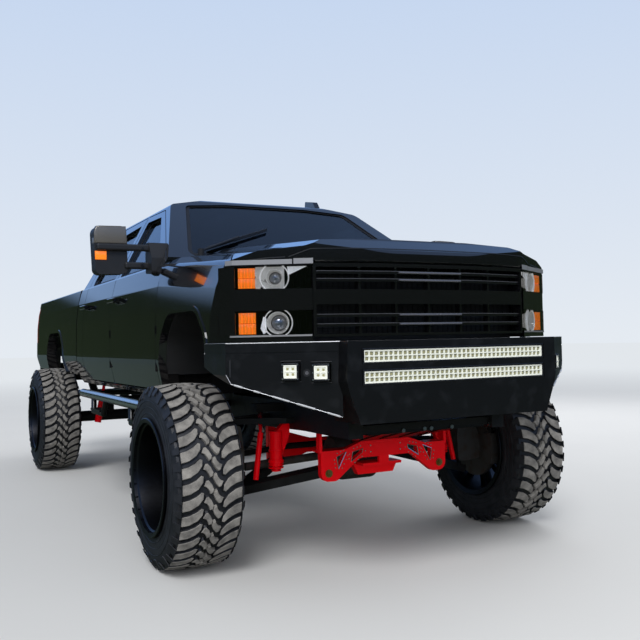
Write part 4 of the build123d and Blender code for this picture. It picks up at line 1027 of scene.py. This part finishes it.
# Red crossmember: light edges round the cut-outs, rivets beside them and the gold pivot bolts
memberData = {"front": -2.398, "edge": 0.0023, "rivet": 0.0032, "rivetPitch": 0.024, "rivetInset": 0.017,
              "bolt": (0.345, 0.453),
              "boltSteps": [(0.002, -0.004, 0.0205, 28), (-0.003, -0.016, 0.0135, 6),
                            (-0.015, -0.021, 0.0075, 16)],
              "plateRivets": [(x, z) for x in (-0.092, 0.092) for z in (0.545, 0.578)],
              "holes": [[(0.297, 0.533), (0.240, 0.556), (0.287, 0.472)],
                        [(0.202, 0.552), (0.140, 0.566), (0.144, 0.546), (0.210, 0.504)]]}


def makeMemberTrim():
    rims, rivets, gold = newMeshes(3)
    front = memberData["front"]
    for hole in memberData["holes"]:
        addPath(rims, [(x, front, z) for x, z in hole], memberData["edge"], 8, True)
        middle = Vector((sum(x for x, _ in hole) / len(hole), sum(z for _, z in hole) / len(hole)))
        for i, corner in enumerate(hole):
            first, second = Vector(corner), Vector(hole[(i + 1) % len(hole)])
            side = (second - first).normalized()
            away = Vector((side.y, -side.x))
            if away.dot(middle - first) > 0:
                away = -away
            count = max(1, round((second - first).length / memberData["rivetPitch"]))
            for j in range(count):
                x, z = first.lerp(second, (j + 0.5) / count) + away * memberData["rivetInset"]
                addRod(rivets, (x, front + 0.002, z), (x, front - 0.0018, z), memberData["rivet"], 10)
    x, z = memberData["bolt"]
    for start, end, radius, sides in memberData["boltSteps"]:
        addRod(gold, (x, front + start, z), (x, front + end, z), radius, sides)
    for x, z in memberData["plateRivets"]:
        addRod(rivets, (x, front + 0.002, z), (x, front - 0.002, z), 0.004, 10)
    mirrored(rims, rivets, gold)
    finishPiece(rims, "crossmember_rims", "polished")
    finishPiece(rivets, "crossmember_rivets", "polished")
    finishPiece(gold, "pivot_bolts", "goldBolt")


makeMemberTrim()
print("crossmember trim made")


# Front shocks are drawn in and the bump stops swollen, each about its own axis
strutData = {"low": (0.640, -2.133, 0.412), "high": (0.600, -2.115, 0.655), "slim": 0.55,
             "stop": (0.532, -2.158), "stout": 1.28, "collars": [0.468, 0.482, 0.558],
             "collarRadius": 0.0395, "collarHeight": 0.007, "stopReach": 0.036, "stopTop": 0.70,
             "tubeTop": 0.662, "cabFront": -1.5}


def makeStops():
    x, y = strutData["stop"]
    mesh = nodeCopy("bump_stops")
    for vert in mesh.verts:
        sign = 1 if vert.co.x > 0 else -1
        around = Vector((vert.co.x - sign * x, vert.co.y - y, 0))
        if around.length < strutData["stopReach"] and vert.co.z < strutData["stopTop"]:
            vert.co += around * (strutData["stout"] - 1)
    for sign in (-1, 1):
        for z in strutData["collars"]:
            end = (sign * x, y, z + strutData["collarHeight"])
            addRod(mesh, (sign * x, y, z), end, strutData["collarRadius"], 28)
    piece = finishPiece(mesh, "bump_stop_tubes", ["liftRed", "frameBlack"])
    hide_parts("bump_stops")


def makeShocks():
    mesh = nodeCopy("shock_absorbers")
    for vert in mesh.verts:
        sign = 1 if vert.co.x > 0 else -1
        if vert.co.y < strutData["cabFront"] and vert.co.z < strutData["tubeTop"]:
            low, high = (Vector((sign * x, y, z)) for x, y, z in (strutData["low"], strutData["high"]))
            share = (vert.co - low).dot(high - low) / (high - low).length_squared
            vert.co = low.lerp(high, share).lerp(vert.co, strutData["slim"])
    piece = finishPiece(mesh, "shock_tubes", ["liftRed", "frameBlack"])
    for face in piece.data.polygons:
        if face.center.y < strutData["cabFront"] and face.center.z > strutData["stopTop"]:
            face.material_index = 1
    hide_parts("shock_absorbers")


makeShocks()
makeStops()
print("struts made")


# Step bars keep a bright tube; the drop hoops and brackets are black
stepData = {"tubeLow": 0.728, "tubeX": 0.96}


def makeSteps():
    piece = finishPiece(nodeCopy("step_bars"), "step_bar_tubes", ["polished", "powderBlack"])
    for face in piece.data.polygons:
        if face.center.z < stepData["tubeLow"] or abs(face.center.x) < stepData["tubeX"]:
            face.material_index = 1
    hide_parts("step_bars")


makeSteps()
print("steps made")


# Window seals: a band inside each pane's edge, cut from the pane itself
sealData = {"width": 0.017, "wideWidth": 0.028, "lift": 0.003, "sideWay": (0.9, 0, 0.42),
            "frontWay": (0, -0.62, 0.78), "backWay": (0, 0.95, 0.3)}


def makeSeal(node, name, body, ways, width, even=True):
    # keeps the faces that look one of the ways, then only a band along their edge, and raises it
    mesh = nodeCopy(node)
    ways = [Vector(way) for way in ways]
    keep = {face for face in mesh.faces if any(face.normal.dot(way) > 0.8 for way in ways)}
    bmesh.ops.delete(mesh, geom=[face for face in mesh.faces if face not in keep], context="FACES")
    bmesh.ops.dissolve_limit(mesh, angle_limit=radians(1.5), verts=mesh.verts, edges=mesh.edges)
    ring = set(bmesh.ops.inset_region(mesh, faces=mesh.faces[:], thickness=width, depth=0,
                                      use_boundary=True, use_even_offset=even)["faces"])
    bmesh.ops.delete(mesh, geom=[face for face in mesh.faces if face not in ring], context="FACES")
    mesh.normal_update()
    for vert in vertsIn(bmesh.ops.extrude_face_region(mesh, geom=mesh.faces[:])["geom"]):
        vert.co += vert.normal * sealData["lift"]
    finishPiece(mesh, name, "sealRubber", body)


def makeSeals():
    x, y, z = sealData["sideWay"]
    for side, sign in sideSigns:
        for end in ("front", "rear"):
            makeSeal(f"{end}_door_glass_{side}", f"{end}_window_seal_{side}", f"{end}_door_{side}_body",
                     [(sign * x, y, z)], sealData["width"])
    makeSeal("fixed_glass", "fixed_glass_seals", "chassis", [sealData["frontWay"], sealData["backWay"]],
             sealData["wideWidth"], False)


makeSeals()
print("window seals made")


# Wipers lie along the foot of the windshield
wiperData = {"foot": (-1.4005, 1.7265), "slope": 0.655, "outward": (0, -0.55, 0.84), "lift": 0.012,
             "blades": [((-0.64, 1.698), (-0.14, 1.862), (-0.70, 1.668)),
                        ((0.02, 1.700), (0.56, 1.800), (-0.02, 1.668))]}


def onGlass(x, z, lift):
    footY, footZ = wiperData["foot"]
    return Vector((x, footY + (z - footZ) / wiperData["slope"], z)) + Vector(wiperData["outward"]) * lift


def makeWipers():
    mesh = bmesh.new()
    lift, spine = wiperData["lift"], Vector((0, -0.006, 0.01))
    for start, end, pivot in wiperData["blades"]:
        a, b, p = onGlass(*start, lift), onGlass(*end, lift), onGlass(*pivot, 2 * lift)
        addRod(mesh, a, b, 0.0065, 8)
        addRod(mesh, a + spine, b + spine, 0.004, 8)
        addPath(mesh, [p, a.lerp(b, 0.5) + Vector((0, -0.008, 0.014))], 0.0075, 8)
        addRod(mesh, p - Vector((0, 0, 0.03)), p + Vector((0, -0.004, 0.012)), 0.02, 20)
    finishPiece(mesh, "windshield_wipers", "trimBlack")


makeWipers()
print("wipers made")


# Tow mirrors: bronze cap over the upper half, amber marker, glass and arm bolts
mirrorData = {"front": -1.353, "back": -1.251, "boltX": 1.02, "boltHeights": (1.608, 1.704),
              "cap": [(1.101, 1.730), (1.2965, 1.730), (1.2965, 1.800), (1.281, 1.8315), (1.109, 1.8355)],
              "marker": [(1.225, 1.634), (1.290, 1.634), (1.292, 1.684), (1.225, 1.684)],
              "glass": [(1.122, 1.582), (1.268, 1.577), (1.276, 1.690), (1.124, 1.694)],
              "smallGlass": [(1.125, 1.704), (1.277, 1.700), (1.277, 1.806), (1.126, 1.812)]}


def mirrorPlate(mesh, corners, sign, lift, thick, bevel, steps):
    # a plate on the head's front, its front edges bevelled
    front = mirrorData["front"]
    verts = addPlate(mesh, [(x * sign, front - lift, z) for x, z in corners], (0, thick, 0))
    rim = [edge for edge in mesh.edges if all(vert in verts and vert.co.y < front for vert in edge.verts)]
    bevelEdges(mesh, rim, bevel, steps)


def makeMirrors():
    front, back = mirrorData["front"], mirrorData["back"]
    for side, sign in sideSigns:
        body = f"front_door_{side}_body"
        cap, marker, glass, bolts = newMeshes(4)
        mirrorPlate(cap, mirrorData["cap"], sign, 0.004, 0.05, 0.009, 3)
        mirrorPlate(marker, mirrorData["marker"], sign, 0.006, 0.014, 0.004, 2)
        for key in ("glass", "smallGlass"):
            addPlate(glass, [(x * sign, back - 0.0125, z) for x, z in mirrorData[key]], (0, 0.003, 0))
        x = sign * mirrorData["boltX"]
        for z in mirrorData["boltHeights"]:
            addRod(bolts, (x, front - 0.033, z), (x, front - 0.02, z), 0.008, 6)
        finishPiece(cap, f"mirror_cap_{side}", "bronzeCap", body)
        finishPiece(marker, f"mirror_marker_{side}", "lampAmber", body)
        finishPiece(glass, f"mirror_glass_{side}", "mirrorGlass", body)
        finishPiece(bolts, f"mirror_bolts_{side}", "satinBlack", body)


makeMirrors()
print("mirrors made")


# Tail lamps, tailgate handle, bumper steps and the hitch
rearData = {"lampX": (0.9015, 0.968), "lensInset": 0.006, "lampBack": 2.9365,
            "lensSpans": [(1.184, 1.289), (1.353, 1.429), (1.436, 1.536)],
            "reverseSpan": (1.296, 1.346), "bands": (1.2925, 1.3495, 1.4325), "gateBack": 2.937,
            "stepCount": 9, "stepStart": 0.28, "stepPitch": 0.06, "boltX": (0.22, 0.86)}


def makeRear():
    lens, bands, bright = newMeshes(3)
    (x0, x1), back = rearData["lampX"], rearData["lampBack"]
    lensEnd = x1 - rearData["lensInset"]
    for target, spans in ((lens, rearData["lensSpans"]), (bright, [rearData["reverseSpan"]])):
        for low, high in spans:
            addBlock(target, (x0, back - 0.012, low), (lensEnd, back - 0.0005, high), 0.004, 3)
    for z in rearData["bands"]:
        addBlock(bands, (x0, back - 0.008, z - 0.003), (x1, back - 0.0035, z + 0.003), 0.001, 1)
    mirrored(lens, bands, bright)
    finishPiece(lens, "tail_lamp_lenses", "lampRed")
    finishPiece(bands, "tail_lamp_bands", "satinBlack")
    # the reverse lenses' glow is painted brightness
    finishPiece(bright, "reverse_lamp_lenses", "lampBowl")
    handle, recess = newMeshes(2)
    gate = rearData["gateBack"]
    addBlock(handle, (-0.105, gate - 0.022, 1.502), (0.105, gate - 0.004, 1.534), 0.006, 3)
    addBlock(recess, (-0.118, gate - 0.0295, 1.4915), (0.118, gate - 0.027, 1.5485))
    addRod(recess, (0.0, gate - 0.012, 1.496), (0.0, gate - 0.006, 1.496), 0.008, 16)
    finishPiece(handle, "tailgate_handle", "trimBlack", "tailgate_body")
    finishPiece(recess, "tailgate_handle_recess", "satinBlack", "tailgate_body")
    steps, bolts, hitch = newMeshes(3)
    for side in (-1, 1):
        for i in range(rearData["stepCount"]):
            x = side * (rearData["stepStart"] + i * rearData["stepPitch"])
            addBlock(steps, (x - 0.02, 2.965, 0.9595), (x + 0.02, 3.03, 0.9635), 0.001, 1)
        for x in rearData["boltX"]:
            addRod(bolts, (side * x, 3.0525, 0.86), (side * x, 3.0568, 0.86), 0.012, 6)
    addBlock(steps, (-0.16, 2.965, 0.9595), (0.16, 3.03, 0.9635), 0.001, 1)
    lampFrameBars(hitch, (-0.042, 0.746), (0.042, 0.830), 2.995, 3.006, 0.005)
    for x in (-0.08, 0.08):
        addRod(hitch, (x, 2.985, 0.745), (x, 2.998, 0.745), 0.014, 20)
    finishPiece(steps, "rear_bumper_treads", "trimBlack")
    finishPiece(bolts, "rear_bumper_bolts", "steelPlain")
    finishPiece(hitch, "hitch_collar", "frameBlack")


makeRear()
print("rear details made")


# Seats: each pad swells from a slightly smaller shape in its own cloth simulation
seatData = {"voxel": 0.010, "shrink": 0.012, "pressure": 4.0, "cap": 0.024, "frames": 20, "stretch": 12,
            "bending": 0.4, "seamDepth": 0.008, "seamHalf": 0.012, "seamPlaces": (-0.55, 0.55),
            "backSeams": (1.32, 1.45, 1.58), "cushionSeams": (-0.95, -0.82, -0.70, 0.08, 0.24)}
padRows = [  # name, node, half width, side view (y, z) corners, middles in x
    ("front_cushion", "front_seats", 0.25,
     [(-1.053, 0.962), (-0.583, 0.962), (-0.583, 1.17), (-1.053, 1.188)], (-0.43, 0.43)),
    ("front_back", "front_seats", 0.25,
     [(-0.661, 1.195), (-0.545, 1.195), (-0.403, 1.748), (-0.508, 1.748)], (-0.43, 0.43)),
    ("front_rest", "front_seats", 0.13,
     [(-0.488, 1.755), (-0.418, 1.755), (-0.381, 1.928), (-0.463, 1.928)], (-0.43, 0.43)),
    ("rear_cushion", "rear_seat", 0.70,
     [(-0.073, 0.942), (0.387, 0.942), (0.387, 1.178), (-0.073, 1.178)], (0.0,)),
    ("rear_back", "rear_seat", 0.69,
     [(0.319, 1.184), (0.447, 1.184), (0.547, 1.718), (0.452, 1.718)], (0.0,)),
    ("rear_rest", "rear_seat", 0.13,
     [(0.467, 1.724), (0.532, 1.724), (0.551, 1.858), (0.483, 1.858)], (-0.45, 0.45)),
]


def padShape(half, corners):
    # the side view's corners made a block with rounded edges, pulled in a little at every side
    mesh = bmesh.new()
    addPlate(mesh, [(-half, y, z) for y, z in corners], (2 * half, 0, 0))
    bmesh.ops.recalc_face_normals(mesh, faces=mesh.faces)
    bevelEdges(mesh, mesh.edges[:], min(0.03, 0.4 * (Vector(corners[0]) - Vector(corners[1])).length), 3)
    middle = sum((vert.co for vert in mesh.verts), Vector()) / len(mesh.verts)
    for i in range(3):
        places = [vert.co[i] for vert in mesh.verts]
        share = 1 - 2 * seatData["shrink"] / (max(places) - min(places))
        for vert in mesh.verts:
            vert.co[i] = middle[i] + (vert.co[i] - middle[i]) * share
    return mesh


def swell(piece):
    # pressure inside, no weight, a short run, and no point moves further than the cap
    cloth = piece.modifiers.new("swelling", "CLOTH")
    cloth.settings.use_pressure = True
    cloth.settings.uniform_pressure_force = seatData["pressure"]
    cloth.settings.effector_weights.gravity = 0
    cloth.settings.quality = 4
    cloth.settings.tension_stiffness = cloth.settings.compression_stiffness = seatData["stretch"]
    cloth.settings.bending_stiffness = seatData["bending"]
    cloth.point_cache.frame_start = 1
    cloth.point_cache.frame_end = seatData["frames"]
    before = [vert.co.copy() for vert in piece.data.vertices]
    for step in range(1, seatData["frames"] + 1):
        scene.frame_set(step)
    graph = bpy.context.evaluated_depsgraph_get()
    after = [vert.co.copy() for vert in piece.evaluated_get(graph).data.vertices]
    piece.modifiers.remove(cloth)
    scene.frame_set(1)
    for vert, old, new in zip(piece.data.vertices, before, after):
        move = new - old
        far = move.length
        vert.co = old + (move * (seatData["cap"] / far) if far > seatData["cap"] else move)


def remeshed(mesh, name):
    piece = newObject(name, meshData(mesh, name))
    rebuilt = piece.modifiers.new("voxels", "REMESH")
    rebuilt.mode = "VOXEL"
    rebuilt.voxel_size = seatData["voxel"]
    graph = bpy.context.evaluated_depsgraph_get()
    fresh = bpy.data.meshes.new_from_object(piece.evaluated_get(graph))
    piece.modifiers.remove(rebuilt)
    piece.data = fresh
    return piece


def sewChannels(mesh, half, upright):
    # seams: two long channels and cross channels pressed into the front of the pad
    limit = seatData["seamHalf"]
    places = seatData["backSeams"] if upright else seatData["cushionSeams"]
    for vert in mesh.verts:
        share = vert.co.x / half
        deep = sum(max(0.0, 1 - abs(share - line) * half / limit) ** 2 for line in seatData["seamPlaces"])
        if abs(share) < seatData["seamPlaces"][1]:
            across = vert.co.z if upright else vert.co.y
            deep += sum(max(0.0, 1 - abs(across - line) / limit) ** 2 for line in places)
        if vert.normal.y < -0.3 if upright else vert.normal.z > 0.3:
            vert.co -= vert.normal * seatData["seamDepth"] * min(1, deep)


def makeSeats():
    for name, node, half, corners, places in padRows:
        piece = remeshed(padShape(half, corners), name)
        swell(piece)
        mesh = bmesh.new()
        mesh.from_mesh(piece.data)
        if not name.endswith("rest"):
            mesh.normal_update()
            sewChannels(mesh, half, name.endswith("back"))
        bmesh.ops.smooth_vert(mesh, verts=mesh.verts, factor=0.3, use_axis_x=True, use_axis_y=True,
                              use_axis_z=True)
        data = meshData(mesh, name)
        bpy.data.objects.remove(piece)
        for i, x in enumerate(places):
            part = bmesh.new()
            part.from_mesh(data)
            bmesh.ops.translate(part, vec=(x, 0, 0), verts=part.verts)
            pad = finishPiece(part, f"{name}_{i + 1}", "seatCloth", "chassis", 180)
            finer = pad.modifiers.new("finer", "SUBSURF")
            finer.levels = finer.render_levels = 1
            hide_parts(node)
        bpy.data.meshes.remove(data)
        print("pad made:", name)


makeSeats()
print("seats made")


# Floor and light
stageData = {"floor": (0.70, 0.70, 0.69), "spots": 0.02, "floorSize": 90,
             "dimFloor": (0.42, 0.42, 0.40), "mirroredFloor": (0.055, 0.075, 0.04),
             "haze": (0.80, 0.84, 0.88, 1), "hazeFrom": 5.0, "hazeTo": 26.0, "seenStrength": 0.95,
             "skyLow": (0.82, 0.87, 0.93), "skyHigh": (0.40, 0.58, 0.90), "skyTop": 0.75,
             "dimSky": (0.9, 0.94, 1.0, 1), "dimStrength": 0.5,
             "sunPower": 1.7, "sunPlace": (-5.0, -6.5, 8.5), "sunAngle": 24}
# what glossy rays see, from the horizon and below to straight up: a dark low band, then a blue sky
mirroredSky = [(0.0, (0.022, 0.034, 0.018)), (0.12, (0.016, 0.026, 0.016)), (0.15, (0.28, 0.44, 0.74)),
               (0.32, (0.24, 0.45, 0.92)), (0.75, (0.15, 0.24, 0.44)), (1.0, (0.14, 0.20, 0.34))]
lampRows = [  # place, size, power, aim
    ((6.5, 3.0, 6.5), 6.0, 260, (0, 0, 1.0)),
    ((-2.5, -7.5, 2.6), 3.5, 110, (0, -2.5, 0.7)),
]


def makeStage():
    mesh = bmesh.new()
    bmesh.ops.create_grid(mesh, x_segments=1, y_segments=1, size=stageData["floorSize"])
    floor = newObject("floor", meshData(mesh, "floor"))
    material, tree, shader = newMaterial("paleFloor", {"Base Color": stageData["floor"], "Roughness": 0.8})
    pale, spots = stageData["floor"], stageData["spots"]
    lighter, darker = (tuple(part + change for part in pale) for change in (spots, -spots))
    spotted = blendColors(tree, noiseAt(tree, 1.2, 4), darker, lighter)
    seen, shiny = lightPath(tree, "Camera"), lightPath(tree, "Glossy")
    unseen = blendColors(tree, shiny, stageData["dimFloor"], stageData["mirroredFloor"])
    feed(tree, shader, "Base Color", blendColors(tree, seen, unseen, spotted))
    away = addNode(tree, "ShaderNodeVectorMath", {"operation": "LENGTH"}, {0: objectPoint(tree)}, "Value")
    far = ramped(tree, away, stageData["hazeFrom"], stageData["hazeTo"], 1.0, "SMOOTHSTEP")
    glow = addNode(tree, "ShaderNodeEmission", {}, {
        "Color": stageData["haze"], "Strength": stageData["seenStrength"]})
    surface = Wire(tree, shader.outputs["BSDF"])
    mixed = addNode(tree, "ShaderNodeMixShader", {}, {0: far * seen, 1: surface, 2: glow})
    tree.links.new(mixed.socket, tree.nodes["Material Output"].inputs["Surface"])
    floor.data.materials.append(material)


def addLight(name, kind, power, place, aim):
    data = bpy.data.lights.new(name, kind)
    data.energy = power
    lamp = newObject(name, data)
    lamp.rotation_euler = (Vector(aim) - Vector(place)).to_track_quat("-Z", "Y").to_euler()
    return lamp


def makeLights():
    for i, (place, size, power, aim) in enumerate(lampRows):
        lamp = addLight(f"softLamp{i}", "AREA", power, place, aim)
        lamp.location = place
        lamp.data.size = size
        lamp.visible_glossy = lamp.visible_transmission = False
    sun = addLight("softSun", "SUN", stageData["sunPower"], stageData["sunPlace"], (0, 0, 0))
    sun.data.angle = radians(stageData["sunAngle"])


def makeWorld():
    # camera and see-through rays meet a pale sky, glossy rays the mirrored one, others a dim plain light
    world = bpy.data.worlds.new("paleRoom")
    scene.world = world
    world.use_nodes = True
    tree = world.node_tree
    tree.nodes.clear()
    coordinate = addNode(tree, "ShaderNodeTexCoord", {}, {}, "Generated")
    height = addNode(tree, "ShaderNodeSeparateXYZ", {}, {0: coordinate}, "Z")
    rise = ramped(tree, height, 0.0, stageData["skyTop"])
    paleHue = blendColors(tree, rise, stageData["skyLow"], stageData["skyHigh"])
    mirroredHue = addNode(tree, "ShaderNodeValToRGB", {"stops": mirroredSky}, {"Fac": height})
    glossy = lightPath(tree, "Glossy")
    seen = (lightPath(tree, "Camera") + glossy + lightPath(tree, "Transmission")).clamp()
    hue = blendColors(tree, glossy, paleHue, mirroredHue)
    dim = addNode(tree, "ShaderNodeBackground", {}, {
        "Color": stageData["dimSky"], "Strength": stageData["dimStrength"]})
    pale = addNode(tree, "ShaderNodeBackground", {}, {"Color": hue, "Strength": stageData["seenStrength"]})
    mixed = addNode(tree, "ShaderNodeMixShader", {}, {0: seen, 1: dim, 2: pale})
    end = tree.nodes.new("ShaderNodeOutputWorld")
    tree.links.new(mixed.socket, end.inputs["Surface"])
    scene.view_settings.view_transform = "Standard"


makeStage()
makeLights()
makeWorld()
print("stage and light set")
